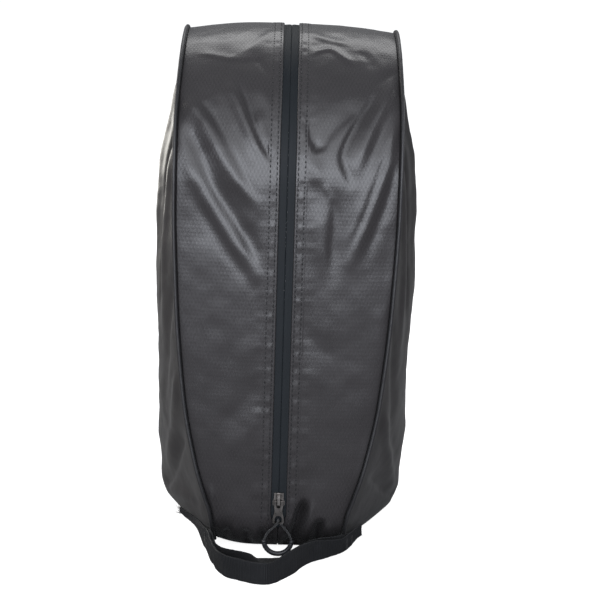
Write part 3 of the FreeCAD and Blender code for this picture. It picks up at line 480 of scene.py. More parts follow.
def polygon_mesh(name, verts, polys, uv, material, indexed=True):
    """An object from polygons of any size. indexed stores a material index on each face."""
    mesh = bpy.data.meshes.new(name)
    mesh.from_pydata((verts * MM).tolist(), [], polys)
    mesh.materials.append(material)
    if indexed:
        mesh.polygons.foreach_set("material_index", np.zeros(len(polys), np.int32))
    mesh.polygons.foreach_set("use_smooth", np.ones(len(polys), bool))
    layer = mesh.uv_layers.new(name="cloth")
    corners = np.zeros(len(mesh.loops), np.int32)
    mesh.loops.foreach_get("vertex_index", corners)
    layer.data.foreach_set("uv", (uv[corners] * MM).astype(np.float32).ravel())
    mesh.update()
    return add_object(name, mesh)


def middle(grid):
    return grid[grid.shape[0] // 2, grid.shape[1] // 2]


def grid_normals(points, towards):
    """Normals of a grid of points, on the side that faces towards at its middle."""
    normals = np.cross(np.gradient(points, axis=0), np.gradient(points, axis=1))
    normals /= np.linalg.norm(normals, axis=2, keepdims=True) + 1e-12
    return -normals if np.dot(middle(normals), towards) < 0 else normals


def grid_faces(rows, cols, base, flip):
    i = np.arange(rows - 1)[:, None] * cols + np.arange(cols - 1)[None, :] + base
    quads = np.stack([i, i + 1, i + cols + 1, i + cols], -1).reshape(-1, 4)
    return quads[:, ::-1] if flip else quads


def ring_faces(rows, cols):
    """Quads between rows of points that each close on themselves."""
    start = np.arange(rows - 1)[:, None] * cols
    i = start + np.arange(cols)[None, :]
    j = start + (np.arange(cols)[None, :] + 1) % cols
    return np.stack([i, j, j + cols, i + cols], -1).reshape(-1, 4)


def shell(name, outer, inner, normals_out, normals_in, uv, materials):
    """A closed sheet of cloth between two grids of points of the same size."""
    rows, cols = outer.shape[:2]
    count = rows * cols
    i, j = rows // 2, cols // 2
    facing = np.cross(outer[i, j + 1] - outer[i, j], outer[i + 1, j] - outer[i, j])
    flip = bool(np.dot(facing, normals_out[i, j]) < 0)
    faces = [grid_faces(rows, cols, 0, flip), grid_faces(rows, cols, count, not flip)]
    slots = [np.zeros(len(faces[0]), int), np.ones(len(faces[1]), int)]
    edges = (
        (np.arange(cols), True),
        ((rows - 1) * cols + np.arange(cols), False),
        (np.arange(rows) * cols, False),
        (np.arange(rows) * cols + cols - 1, True),
    )
    for line, turn in edges:
        start, end = line[:-1], line[1:]
        quads = np.stack([start, end, end + count, start + count], -1)
        faces.append(quads if turn == flip else quads[:, ::-1])
        slots.append(np.zeros(len(quads), int))
    verts = np.vstack([outer.reshape(-1, 3), inner.reshape(-1, 3)])
    normals = np.vstack([normals_out.reshape(-1, 3), normals_in.reshape(-1, 3)])
    uv = np.vstack([uv.reshape(-1, 2)] * 2)
    return quad_mesh(name, verts, np.vstack(faces), uv, materials, normals, np.concatenate(slots))


def circle(sides):
    angles = np.linspace(0, 2 * math.pi, sides, endpoint=False)
    return np.stack([np.cos(angles), np.sin(angles)], -1)


def tube(path, radius, profile, start_up=(0, 0, 1), twist=None):
    """Verts, polygons and uv of a capped tube. The profile is scaled by the radius."""
    path = np.asarray(path, float)
    tangents = unit(np.gradient(path, axis=0))
    radii = np.broadcast_to(np.asarray(radius, float), (len(path),))
    up = np.array(start_up, float)
    rings = []
    for i, tangent in enumerate(tangents):
        up = unit(up - tangent * up.dot(tangent))
        across = np.cross(tangent, up)
        section = profile
        if twist is not None:
            cos, sin = math.cos(twist[i]), math.sin(twist[i])
            section = section @ np.array([[cos, sin], [-sin, cos]])
        rings.append(path[i] + radii[i] * (section[:, :1] * up + section[:, 1:2] * across))
    rings = np.array(rings)
    rows, cols = rings.shape[:2]
    run = run_length(path)
    girth = np.linalg.norm(np.diff(profile, axis=0), axis=1).sum() * radii.mean()
    around = np.broadcast_to(np.arange(cols) / cols * girth, (rows, cols))
    along = np.broadcast_to(run[:, None], (rows, cols))
    uv = np.vstack([np.stack([around, along], -1).reshape(-1, 2), [[0, 0], [0, run[-1]]]])
    verts = np.vstack([rings.reshape(-1, 3), rings[0].mean(0), rings[-1].mean(0)])
    count = rows * cols
    i = np.arange(cols)
    j = (i + 1) % cols
    last = (rows - 1) * cols
    start_cap = np.stack([j, i, np.full(cols, count)], -1)
    end_cap = np.stack([last + i, last + j, np.full(cols, count + 1)], -1)
    polys = ring_faces(rows, cols).tolist() + start_cap.tolist() + end_cap.tolist()
    return verts, polys, uv


def tube_object(name, material, *tubes):
    """One object from tubes made by tube()."""
    polys, base = [], 0
    for verts, part, _ in tubes:
        polys += [[i + base for i in poly] for poly in part]
        base += len(verts)
    verts = np.vstack([part[0] for part in tubes])
    return polygon_mesh(name, verts, polys, np.vstack([part[2] for part in tubes]), material)


def capsules(name, centres, along, out, half, radius, material, flat=0.8):
    """Many short rounded threads in one mesh, each with ends that sink in."""
    sides = 6
    ring_at = np.array([-1.0, -0.82, -0.3, 0.3, 0.82, 1.0])
    ring_size = np.array([0.30, 0.80, 1.0, 1.0, 0.80, 0.30])
    sag = (np.array([-1.0, -0.35, 0.0, 0.0, -0.35, -1.0]) * radius * 0.9)[None, :, None, None]
    angles = np.linspace(0, 2 * math.pi, sides, endpoint=False)
    across = np.cross(along, out)
    count, rings = len(centres), len(ring_at)
    reach = (ring_at * half)[None, :, None, None]
    size = (ring_size * radius)[None, :, None, None]
    sin, cos = np.sin(angles)[None, None, :, None], np.cos(angles)[None, None, :, None]
    verts = (centres[:, None, None, :] + along[:, None, None, :] * reach
             + out[:, None, None, :] * (sag + size * flat * sin)
             + across[:, None, None, :] * size * cos).reshape(-1, 3)
    last = (rings - 1) * sides
    caps = [[0, 1, 2, 3], [0, 3, 4, 5], [last + 3, last + 2, last + 1, last],
            [last + 5, last + 4, last + 3, last]]
    walls = ring_faces(rings, sides)[:, [0, 3, 2, 1]]
    quads = np.vstack([walls, caps])
    faces = (quads[None] + (np.arange(count) * rings * sides)[:, None, None]).reshape(-1, 4)
    shape = (count, rings, sides)
    lengths = (ring_at * half)[None, :, None] + np.arange(count)[:, None, None] * 3.6
    uv = np.stack([np.broadcast_to(angles[None, None, :] * radius, shape),
                   np.broadcast_to(lengths, shape)], -1).reshape(-1, 2)
    return quad_mesh(name, verts, faces, uv, [material])


def settle(ob, slot, *replaced, node="bag"):
    """Fixes an object to a moving node and hides the CAD pieces it stands for."""
    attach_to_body(ob, node)
    if replaced:
        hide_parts(*replaced)


# ---------------------------------------------------------------- materials (metres)
class Shader:
    """Short names for building a node tree."""

    def __init__(self, owner, output="OutputMaterial"):
        owner.use_nodes = True
        self.owner, self.tree = owner, owner.node_tree
        self.tree.nodes.clear()
        self.output = self.node(output)

    def put(self, socket, value):
        """Links a socket, or sets a value; colours get their alpha."""
        if isinstance(value, bpy.types.NodeSocket):
            self.tree.links.new(value, socket)
        else:
            is_rgb = isinstance(value, tuple) and len(value) == 3 and socket.type == "RGBA"
            socket.default_value = (*value, 1.0) if is_rgb else value

    def node(self, kind, inputs=None, **settings):
        node = self.tree.nodes.new("ShaderNode" + kind)
        for key, value in settings.items():
            setattr(node, key, value)
        for key, value in (inputs or {}).items():
            self.put(node.inputs[key], value)
        return node

    def finish(self, surface):
        self.put(self.output.inputs["Surface"], surface)
        return self.owner

    def principled(self, **values):
        inputs = {key.replace("_", " "): value for key, value in values.items()}
        return self.finish(self.node("BsdfPrincipled", inputs).outputs[0])

    @functools.cached_property
    def uv(self):
        uv_map = self.node("UVMap", uv_map="cloth")
        parts = self.node("SeparateXYZ", {0: uv_map.outputs[0]})
        return parts.outputs[0], parts.outputs[1]

    @functools.cached_property
    def place(self):
        return self.node("TexCoord").outputs["Object"]

    def math(self, operation, a, b=0.0, c=0.0, clamp=False):
        inputs = {0: a, 1: b, 2: c}
        return self.node("Math", inputs, operation=operation, use_clamp=clamp).outputs[0]

    def add(self, a, b):
        return self.math("ADD", a, b)

    def mul(self, a, gain):
        return self.math("MULTIPLY", a, gain)

    def mul_add(self, a, gain, plus, clamp=False):
        return self.math("MULTIPLY_ADD", a, gain, plus, clamp)

    def wave(self, x, period):
        """Cosine from -1 to 1."""
        return self.math("COSINE", self.mul(x, 2 * math.pi / period))

    def noise(self, scale, detail=2.0, rough=0.5):
        inputs = {"Vector": self.place, "Scale": scale, "Detail": detail, "Roughness": rough}
        return self.node("TexNoise", inputs).outputs[0]

    def openness(self, distance, samples, power):
        """1 in the open, towards 0 in creases: the ambient occlusion mask for painted shade."""
        shade = self.node("AmbientOcclusion", {"Distance": distance}, samples=samples)
        return self.math("POWER", self.math("MAXIMUM", shade.outputs["AO"], 0.0), power)

    def mix(self, factor, a, b):
        return self.node("Mix", {0: factor, 6: a, 7: b}, data_type="RGBA").outputs[2]

    def tones(self, factor, base, dark, light):
        """Mixes a darker and a lighter tone of the base colour."""
        return self.mix(factor, tint(base, dark), tint(base, light))

    def bump(self, height, distance, strength, normal=None):
        inputs = {"Strength": strength, "Distance": distance, "Height": height}
        if normal is not None:
            inputs["Normal"] = normal
        return self.node("Bump", inputs).outputs[0]


def tint(base, gain, plus=0.0):
    return tuple(c * gain + plus for c in base)


def new_material(name):
    return Shader(bpy.data.materials.new(name))


def coated_cloth(name, base, dobby, rough):
    """Coated cloth with a small lozenge weave, as strong as dobby."""
    t = new_material(name)
    u, v = t.uv
    across, along = t.mul(u, 1 / 0.00285), t.mul(v, 1 / 0.0062)
    rising = t.wave(t.add(across, along), period=1)
    falling = t.wave(t.math("SUBTRACT", across, along), period=1)
    lozenge = t.mul_add(t.add(rising, falling), gain=0.25, plus=0.5)
    rib = t.mul_add(t.wave(v, period=0.0031), gain=0.5, plus=0.5)
    yarn = t.mul(t.wave(u, period=0.00052), t.wave(v, period=0.00052))
    cloud = t.noise(scale=38, detail=3, rough=0.55)
    fine = t.noise(scale=900, rough=0.6)
    tone = t.add(t.mul(cloud, gain=0.42), t.mul(lozenge, gain=0.46 * dobby))
    colour = t.tones(t.mul_add(fine, 0.16, tone, clamp=True), base, dark=0.66, light=1.45)
    gloss = t.add(t.mul_add(cloud, gain=0.10, plus=rough - 0.05), t.mul(lozenge, -0.10 * dobby))
    weave = t.add(t.mul(lozenge, gain=0.62 * dobby), t.mul(rib, gain=0.34 * dobby))
    # the weave fades out towards the floor
    height = t.node("SeparateXYZ", {0: t.place}).outputs[2]
    weave = t.mul(weave, t.mul_add(height, gain=40, plus=-0.25, clamp=True))
    coarse = t.bump(weave, distance=0.00006, strength=0.62)
    grain = t.mul_add(yarn, gain=0.22, plus=t.mul(fine, gain=0.5))
    normal = t.bump(grain, distance=0.00003, strength=0.45, normal=coarse)
    # painted shade: ambient occlusion darkens the base colour of creases and hollows and lowers
    # their specular
    shade = t.mul_add(t.openness(distance=0.028, samples=10, power=1.5), gain=0.86, plus=0.14)
    return t.principled(
        Base_Color=t.mix(shade, tint(base, 0.10), colour), Roughness=gloss, IOR=1.5,
        Normal=normal, Specular_IOR_Level=t.mul(shade, gain=0.5), Sheen_Weight=0.06,
        Sheen_Roughness=0.4)


def backing_cloth(name, base):
    t = new_material(name)
    fine = t.noise(scale=700, detail=3, rough=0.6)
    cloud = t.noise(scale=30, detail=3)
    factor = t.mul_add(fine, gain=0.5, plus=t.mul(cloud, gain=0.5))
    return t.principled(
        Base_Color=t.tones(factor, base, dark=0.7, light=1.3),
        Roughness=t.mul_add(cloud, gain=0.15, plus=0.5),
        Normal=t.bump(fine, distance=0.00004, strength=0.5))


def tape_cloth(name):
    """Zip tape with a smooth film over a fine twill."""
    t = new_material(name)
    u, v = t.uv
    twill = t.wave(t.add(t.mul(u, gain=0.9), v), period=0.0008)
    fine = t.noise(scale=800, rough=0.6)
    cloud = t.noise(scale=60)
    factor = t.mul_add(fine, gain=0.3, plus=t.mul(cloud, gain=0.6))
    dark, light = (0.0080, 0.0100, 0.0118), (0.0150, 0.0182, 0.0214)
    return t.principled(
        Base_Color=t.mix(factor, dark, light),
        Roughness=t.mul_add(cloud, gain=0.14, plus=0.50),
        Normal=t.bump(t.mul_add(twill, gain=0.3, plus=fine), distance=0.00003, strength=0.4),
        Specular_IOR_Level=0.16)


def webbing_cloth(name, base, pile=False):
    """Woven tape, or with pile a fuzzy one."""
    t = new_material(name)
    fine = t.noise(scale=1500 if pile else 900, detail=3, rough=0.65)
    cloud = t.noise(scale=70)
    factor = t.mul_add(fine, gain=0.6, plus=t.mul(cloud, gain=0.35))
    if pile:
        height = t.mul_add(fine, gain=1.0, plus=0.0)
        rough = 0.82
    else:
        u, v = t.uv
        weft, warp = t.wave(u, period=0.0009), t.wave(v, period=0.0014)
        grain = t.mul_add(fine, gain=0.5, plus=t.mul(warp, gain=0.15))
        height = t.add(t.mul(weft, gain=0.35), grain)
        rough = t.mul_add(fine, gain=0.2, plus=0.52)
    return t.principled(
        Base_Color=t.tones(factor, base, dark=0.45, light=1.75), Roughness=rough,
        Normal=t.bump(height, distance=0.00025 if pile else 0.00009, strength=0.8),
        Sheen_Weight=0.12 if pile else 0.04, Sheen_Roughness=0.5, Specular_IOR_Level=0.3)


def thread_mat(name, base):
    t = new_material(name)
    u, v = t.uv
    ply = t.wave(t.add(u, t.mul(v, gain=1.4)), period=0.00035)
    fine = t.noise(scale=2500, rough=0.6)
    return t.principled(
        Base_Color=t.tones(fine, base, dark=0.6, light=1.5), Roughness=0.5,
        Normal=t.bump(ply, distance=0.00005, strength=0.6), Sheen_Weight=0.05)


def metal_mat(name, base, rough):
    """Plated metal: faint grain, lighter on its sharp edges, with painted shade in its corners."""
    t = new_material(name)
    grain = t.noise(scale=1800, detail=3, rough=0.6)
    cloud = t.noise(scale=260)
    convex = t.math("SUBTRACT", t.node("NewGeometry").outputs["Pointiness"], 0.52)
    edge = t.math("MULTIPLY", convex, 9.0, clamp=True)
    colour = t.tones(cloud, base, dark=0.75, light=1.2)
    colour = t.mix(edge, colour, tint(base, 1.8, plus=0.08))
    # painted shade: ambient occlusion darkens the base colour in corners and recesses
    shade = t.openness(distance=0.0030, samples=8, power=3.2)
    return t.principled(
        Base_Color=t.mix(shade, tint(base, 0.06), colour), Metallic=1.0,
        Roughness=t.mul_add(cloud, gain=0.18, plus=rough - 0.06),
        Normal=t.bump(grain, distance=0.00002, strength=0.35))


def moulded_mat(name, base, rough):
    t = new_material(name)
    fine = t.noise(scale=1600, detail=3, rough=0.6)
    cloud = t.noise(scale=120)
    return t.principled(
        Base_Color=t.tones(cloud, base, dark=0.75, light=1.3),
        Roughness=t.mul_add(cloud, gain=0.15, plus=rough - 0.06),
        Normal=t.bump(fine, distance=0.00004, strength=0.5))


def braid_mat(name, base):
    t = new_material(name)
    u, v = t.uv
    rising = t.wave(t.add(t.mul(u, gain=1.6), v), period=0.0017)
    falling = t.wave(t.math("SUBTRACT", t.mul(u, gain=1.6), v), period=0.0017)
    fine = t.noise(scale=1500, rough=0.6)
    factor = t.mul_add(t.mul(rising, falling), gain=0.3, plus=fine, clamp=True)
    strands = t.math("MAXIMUM", rising, falling)
    return t.principled(
        Base_Color=t.tones(factor, base, dark=0.5, light=1.7), Roughness=0.6,
        Normal=t.bump(strands, distance=0.00012, strength=0.7), Sheen_Weight=0.25)


SHELL = coated_cloth("shell_cloth", (0.0285, 0.0262, 0.0272), dobby=1.0, rough=0.335)
SIDE = coated_cloth("side_cloth", (0.0285, 0.0262, 0.0267), dobby=0.42, rough=0.335)
PIPING = coated_cloth("piping_cloth", (0.022, 0.0215, 0.023), dobby=0.0, rough=0.44)
BACKING = backing_cloth("shell_backing", (0.030, 0.030, 0.032))
BASE = coated_cloth("base_cloth", (0.022, 0.022, 0.024), dobby=0.6, rough=0.5)
LINING = backing_cloth("lining_cloth", (0.036, 0.036, 0.038))
TAPE = tape_cloth("zip_film")
WEBBING = webbing_cloth("webbing_ribbed", (0.0044, 0.0049, 0.0061))
PILE = webbing_cloth("webbing_pile", (0.0030, 0.0033, 0.0040), pile=True)
BINDING = webbing_cloth("binding_tape", (0.020, 0.020, 0.022))
THREAD = thread_mat("sewing_thread", (0.006, 0.006, 0.007))
COIL = moulded_mat("coil_nylon", (0.020, 0.021, 0.024), rough=0.35)
METAL = metal_mat("slider_zinc", (0.185, 0.170, 0.160), rough=0.27)
GRIP = moulded_mat("grip_rubber", (0.018, 0.0187, 0.0215), rough=0.38)
CORD = braid_mat("cord_braid", (0.0045, 0.0046, 0.0054))
BOARD = moulded_mat("board_plastic", (0.10, 0.10, 0.10), rough=0.5)


# ---------------------------------------------------------------- splitting across the mouth
def attach(ob, part):
    """Fixes a root strip to the bag; any other strip gets its transform baked into its mesh."""
    if part == "root":
        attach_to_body(ob, "bag")
        return
    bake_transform(ob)


def strip_rows(start, end, front_step, back_step):
    """Arcs of the rows of a long sheet, and the row numbers where its strips meet."""
    marks = [start, ARC_LOW, ARC_MID, ARC_TOP, ARC_END / 2, end]
    steps = [front_step] * 4 + [back_step]
    rows, cuts = [start], [0]
    for first, last, step in zip(marks, marks[1:], steps):
        count = max(2, int(round((last - first) / step)))
        rows.extend(np.linspace(first, last, count + 1)[1:])
        cuts.append(len(rows) - 1)
    return np.array(rows), cuts[:4] + cuts[5:]


def strip_shells(label, side, outer, inner, uv, cuts, materials):
    """Cuts a long sheet into the four strips."""
    normals_out = grid_normals(outer, (0, 0, 1))
    normals_in = grid_normals(inner, -middle(normals_out))
    pieces = []
    for (tag, part, _, _), first, last in zip(STRIPS, cuts, cuts[1:]):
        grids = [grid[first:last + 1] for grid in (outer, inner, normals_out, normals_in, uv)]
        ob = shell(f"{label}_{SIDE_NAMES[side]}_{tag}", *grids, materials)
        attach(ob, part)
        pieces.append(ob)
    return pieces


# ---------------------------------------------------------------- gusset, with hems
def build_gusset(side):
    hem_r, edge_r, panel_x = 0.8, 1.5, 16.3  # rolled hem, rolled seam edge, where the panel starts
    rows, cuts = strip_rows(0.0, ARC_END, front_step=1.45, back_step=2.3)
    seam = seam_x(outline(rows)[1])[:, None]
    hem_turn = np.radians([8, 30, 55, 75, 90])
    hem_flat = np.arange(6.9, panel_x, 0.47)
    spread = np.linspace(0, 1, 31)[1:]
    edge_turn = np.radians([18, 36, 52, 66, 78])
    hem_x = np.r_[HEM_X + hem_r * (1 - np.cos(hem_turn)), hem_flat]
    x = np.hstack([
        np.tile(hem_x, (len(rows), 1)),
        panel_x + (seam - edge_r - panel_x) * spread,
        seam - edge_r + edge_r * np.sin(edge_turn),
    ])
    hem_drop = hem_r * (1 - np.sin(hem_turn))
    edge_drop = edge_r * (1 - np.cos(edge_turn))
    drop_out = np.r_[hem_drop, 0 * hem_flat, 0 * spread, edge_drop]
    flat_drop = HEM_CLOTH - 0.7 * smooth_step(13.6, 15.0, hem_flat)
    drop_in = np.r_[HEM_CLOTH - hem_drop, flat_drop, 0 * spread + CLOTH, edge_drop + CLOTH]
    arc = np.repeat(rows[:, None], x.shape[1], 1)
    # near the feet the two hems close up to the middle
    meet = 5.55 * (1 - smooth_step(27, 41, np.minimum(arc, ARC_END - arc)))
    x = side * (x - meet * np.clip((panel_x - x) / (panel_x - HEM_X), 0, 1))
    relief = gusset_relief(x, arc)
    base = crown(x, outline(arc)[1])
    outer = off_outline(x, arc, base + drop_out - relief)
    inner = off_outline(x, arc, base + drop_in - relief)
    pieces = strip_shells("gusset", side, outer, inner, np.stack([x, arc], -1), cuts,
                          [SHELL, BACKING])
    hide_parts("gusset_panel_" + SIDE_NAMES[side])
    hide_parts("mouth_edge_" + SIDE_NAMES[side])


def surface_frame(x, arc):
    """Point, along and outward directions on the gusset's cloth."""
    along = unit(cloth_point(x, arc + 0.4) - cloth_point(x, arc - 0.4))
    across = unit(cloth_point(x + 0.3, arc) - cloth_point(x - 0.3, arc))
    normal = np.cross(along, across)
    normal *= np.sign((normal * outward(arc)).sum(-1, keepdims=True))
    return cloth_point(x, arc), along, normal


def build_stitches(side):
    for tag, part, start, end in STRIPS:
        frames = []
        for row_x, shift in ((ROW_A, 0.0), (ROW_B, 1.7)):
            arc = np.arange(6.0 + shift, ARC_END - 6.0, PITCH)
            arc = arc[(arc >= start) & (arc < end)]
            x = side * (row_x + 0.16 * noise(arc, 0 * arc, 25.0, 61 + int(row_x)))
            frames.append(surface_frame(x, arc))
        points, along, normals = (np.vstack(group) for group in zip(*frames))
        ob = capsules(f"stitches_{SIDE_NAMES[side]}_{tag}", points + normals * 0.10, along,
                      normals, half=1.25, radius=0.33, material=THREAD)
        attach(ob, part)


# ---------------------------------------------------------------- zip tapes and coils
TAPE_START = 29.0  # arc
TAPE_X = np.array([0.05, 0.16, 0.42, 0.8, 1.3, 2.0, 2.8, 3.6, 4.4, 5.2, 6.2, 8.0, 11.0, 15.8,
                   16.0])
COIL_START, COIL_PITCH = arc_at(35.8), 1.24


def build_tape(side):
    rows, cuts = strip_rows(TAPE_START, ARC_END - TAPE_START, front_step=2.4, back_step=3.2)
    # raised over the coil, rolled in at the slit
    drop_out = 1.30 - (0.20 * bell(TAPE_X - 2.1, 1.7) - 0.26 * bell(TAPE_X - 0.05, 0.16))
    drop_in = np.full(len(TAPE_X), 2.0)
    drop_in[0] = 1.96
    arc = np.repeat(rows[:, None], len(TAPE_X), 1)
    # the tape narrows towards the feet
    near_foot = 1 - smooth_step(58, 80, np.minimum(arc, ARC_END - arc))
    x = side * np.where(TAPE_X > 4, 4 + (TAPE_X - 4) * (1 - 0.70 * near_foot), TAPE_X)
    wobble = 0.10 * noise(arc, x * 0 + side, 30.0, 71) * bell(np.abs(x) - 2, 3)
    outer = off_outline(x, arc, drop_out - wobble)
    inner = off_outline(x, arc, drop_in)
    pieces = strip_shells("zip_tape", side, outer, inner, np.stack([x, arc], -1), cuts,
                          [TAPE, TAPE])
    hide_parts("zip_tape_" + SIDE_NAMES[side])


def build_coil(side):
    """Short bars across the zip; the right coil is half a pitch further on."""
    offset = 0.0 if side < 0 else COIL_PITCH / 2
    for tag, part, start, end in STRIPS:
        arc = np.arange(COIL_START + offset, ARC_END - COIL_START, COIL_PITCH)
        arc = arc[(arc >= start) & (arc < end)]
        centres = off_outline(np.full(len(arc), side * 1.55), arc, 3.0)
        across = np.tile(np.array([[1.0, 0, 0]]), (len(arc), 1))
        ob = capsules(f"zip_coil_{SIDE_NAMES[side]}_{tag}", centres, across, outward(arc),
                      half=2.0, radius=0.30, material=COIL, flat=3.0)
        attach(ob, part)
    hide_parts("zip_coil_" + SIDE_NAMES[side])


# ---------------------------------------------------------------- side panels
SIDE_COLS, SIDE_ROWS = 150, 190
SIDE_CORNER = ARC_TOE + ARC_WALL + ARCH_R * math.radians(50)  # arc where its upright edge ends


def rim(arc):
    """(y, z) of a side panel's edge."""
    return smooth_point(seam_x(outline(arc)[1]), arc, 1.05)[..., 1:]


def corner_lift(x, y):
    """The soft base curls up towards the sides, more on the left."""
    reach = np.where(x < 0, 11.0, 7.5)
    return reach * smooth_step(46, 96, np.abs(x)) * bell(y, 62)


def side_relief(y, z, side):
    out = all_folds(y, z, SIDE_FOLDS[side]) + 1.3 * layered_noise(y, z, 64, 81 + side)
    return out + 0.35 * layered_noise(y + 0.4 * z, z, 19, 87 + side)


def build_side(side):
    """A grid stretched between four edges, then pushed out to the panel's bulge."""
    u = 0.5 - 0.5 * np.cos(np.linspace(0, math.pi, SIDE_COLS))
    u = 0.35 * u + 0.65 * np.linspace(0, 1, SIDE_COLS)
    v = np.linspace(0, 1, SIDE_ROWS)
    front = rim(v * SIDE_CORNER)
    back = front * np.array([-1, 1])
    top = rim(SIDE_CORNER + u * (ARC_END - 2 * SIDE_CORNER))
    foot = front[0][None, :] * (1 - u[:, None]) + back[0][None, :] * u[:, None]
    u, v = u[None, :, None], v[:, None, None]
    grid = (1 - v) * foot[None] + v * top[None] + (1 - u) * front[:, None] + u * back[:, None]
    grid = grid - ((1 - u) * (1 - v) * foot[0] + u * (1 - v) * foot[-1]
                   + (1 - u) * v * top[0] + u * v * top[-1])
    y, z = grid[..., 0], grid[..., 1]
    # distance in from the seam, to roll the edge in and to keep the relief off it
    inset = np.maximum(0.0, (1 - rim_fraction(y, z)) * 104 - 1.0)
    relief = side_relief(y, z, side) * smooth_step(0.5, 16, inset) * smooth_step(-6, 22, z)
    edge_r = 1.6
    over = np.clip(1 - inset / edge_r, 0, 0.985)
    x = side_x(y, z) + relief - edge_r * (1 - np.sqrt(1 - over * over))
    lift = corner_lift(side * np.maximum(x, 0), y) * np.exp(-np.maximum(z, 0) / 34)
    outer = np.stack([side * x, y, z + lift], -1)
    normals = grid_normals(outer, (side, 0, 0))
    name = SIDE_NAMES[side]
    ob = shell(f"side_panel_{name}_cloth", outer, outer - normals * CLOTH, normals, -normals,
               np.stack([y + 500, z], -1), [SIDE, BACKING])
    settle(ob, "shell_fabric", "side_panel_" + name)


# ---------------------------------------------------------------- piping
def bead_path(side, arc, reach):
    """Line beside the seam, a reach outward from it; worked out on the left, then mirrored."""

    def seam_point(at):
        return smooth_point(-seam_x(outline(at)[1]), at)

    seam = seam_point(arc)
    along = unit(seam_point(np.minimum(arc + 1, ARC_END)) - seam_point(np.maximum(arc - 1, 0)))
    gusset_way = smooth_point(-seam_x(outline(arc)[1]) + 1.5, arc) - seam
    y = seam[:, 1] * 0.985
    z = np.where(seam[:, 2] <= ARCH_Z, seam[:, 2], ARCH_Z + (seam[:, 2] - ARCH_Z) * 0.985)
    side_way = np.stack([-side_x(y, z), y, z], -1) - seam
    inward = [unit(way - along * (way * along).sum(1, keepdims=True))
              for way in (gusset_way, side_way)]
    path = seam - unit(inward[0] + inward[1]) * reach
    path[:, 0] *= -side
    return path


def build_piping(side):
    name = SIDE_NAMES[side]
    arc = np.arange(3.4, ARC_END - 3.3, 1.1)
    wobble = 1.0 + 0.035 * noise(arc, 0 * arc, 5.0, 91 + side)
    wobble = wobble + 0.02 * noise(arc, 0 * arc + 2, 2.4, 95 + side)
    bead = tube(bead_path(side, arc, 1.68), 1.45 * wobble, circle(14), start_up=(1, 0, 0))
    ob = tube_object(f"piping_{name}_cloth", PIPING, bead)
    settle(ob, "shell_fabric", "piping_cover_" + name, "piping_cord_" + name)
    # narrow flange that the bead is sewn in with, seen as the dark line beside it
    arc = np.arange(3.4, ARC_END - 3.3, 2.2)
    flange = tube(bead_path(side, arc, 0.15), 0.62, circle(8), start_up=(1, 0, 0))
    settle(tube_object("piping_flange_" + name, PIPING, flange), "shell_fabric")
    # bound seam allowance inside
    arc = np.arange(12.0, ARC_END - 12.0, 3.0)
    path = smooth_point(side * (seam_x(outline(arc)[1]) - 2.4), arc, CLOTH + 4.6)
    profile = np.array([(4.0, -0.7), (4.3, 0), (4.0, 0.7), (1.5, 0.85), (-1.5, 0.85),
                        (-4.0, 0.7), (-4.3, 0), (-4.0, -0.7), (-1.5, -0.85), (1.5, -0.85)])
    binding = tube(path, 1.0, profile, start_up=(0, 1, 0.2))
    ob = tube_object(f"seam_binding_{name}_tape", BINDING, binding)
    settle(ob, "base_fabric", "seam_binding_" + name)


# ---------------------------------------------------------------- base
# One quarter of the base outline: (x, y, inset share in x, inset share in y)
BASE_QUARTER = [(22.0, 84.0, 0.2, 1.0), (46.0, 72.0, 0.75, 1.1), (91.0, 8.0, 1.15, 0.55)]
# (name, inset, lower z, upper z, height of waves, seed, material, slot, CAD piece)
SHEETS = (
    ("base_cloth_sheet", 0.0, 0.0, 1.2, 0.0, 5, BASE, "base_fabric", "base_panel"),
    ("base_board_sheet", 3.2, 1.5, 4.2, 0.0, 7, BOARD, "board", "base_board"),
    ("base_lining_sheet", 3.6, 4.5, 5.5, 0.5, 9, LINING, "base_fabric", "base_lining"),
)


def base_ring(inset):
    corners = []
    for side, end, order in ((1, -1, 1), (1, 1, -1), (-1, 1, 1), (-1, -1, -1)):
        for x, y, share_x, share_y in BASE_QUARTER[::order]:
            corners.append((side * (x - share_x * inset), end * (y - share_y * inset)))
    corners = np.array(corners)
    ring = []
    for start, end in zip(corners, np.roll(corners, -1, 0)):
        count = max(2, int(np.linalg.norm(end - start) / 3.0))
        for t in np.linspace(0, 1, count, endpoint=False):
            ring.append(start + (end - start) * t)
    ring = np.array(ring)
    for _ in range(3):
        ring = 0.5 * ring + 0.25 * (np.roll(ring, 1, 0) + np.roll(ring, -1, 0))
    return ring


def closed_ring(inset):
    ring = base_ring(inset)
    return np.vstack([ring, ring[:1]])


def sheet_disc(name, ring, z_low, z_high, wave, seed, material):
    """A flat sheet inside the ring, made of ever larger copies of it."""
    count = len(ring)
    scales = np.r_[np.linspace(0.08, 0.94, 14), 0.985, 1.0]
    verts = []
    for level, sign in ((z_high, 1), (z_low, -1)):
        for k in scales:
            points = ring * k
            x, y = points.T
            waves = wave * layered_noise(x, y, 34, seed) * (1 - k**6) if sign > 0 else 0
            z = np.full(count, level) + waves + corner_lift(x, y)
            if k == 1.0:
                z = z - sign * 0.3 * (z_high - z_low)
            verts.append(np.c_[points, z])
    verts = np.vstack(verts)
    rings = len(scales)
    i = np.arange(count)
    j = (i + 1) % count
    polys = []
    for base, order in ((0, 1), (rings * count, -1)):
        for start in base + np.arange(rings - 1) * count:
            quads = np.stack([start + i, start + count + i, start + count + j, start + j], -1)
            polys += quads[:, ::order].tolist()
        polys.append((base + i[::order]).tolist())
    upper = (rings - 1) * count
    lower = upper + rings * count
    polys += np.stack([upper + i, lower + i, lower + j, upper + j], -1).tolist()
    return polygon_mesh(name, verts, polys, verts[:, :2], material, indexed=False)


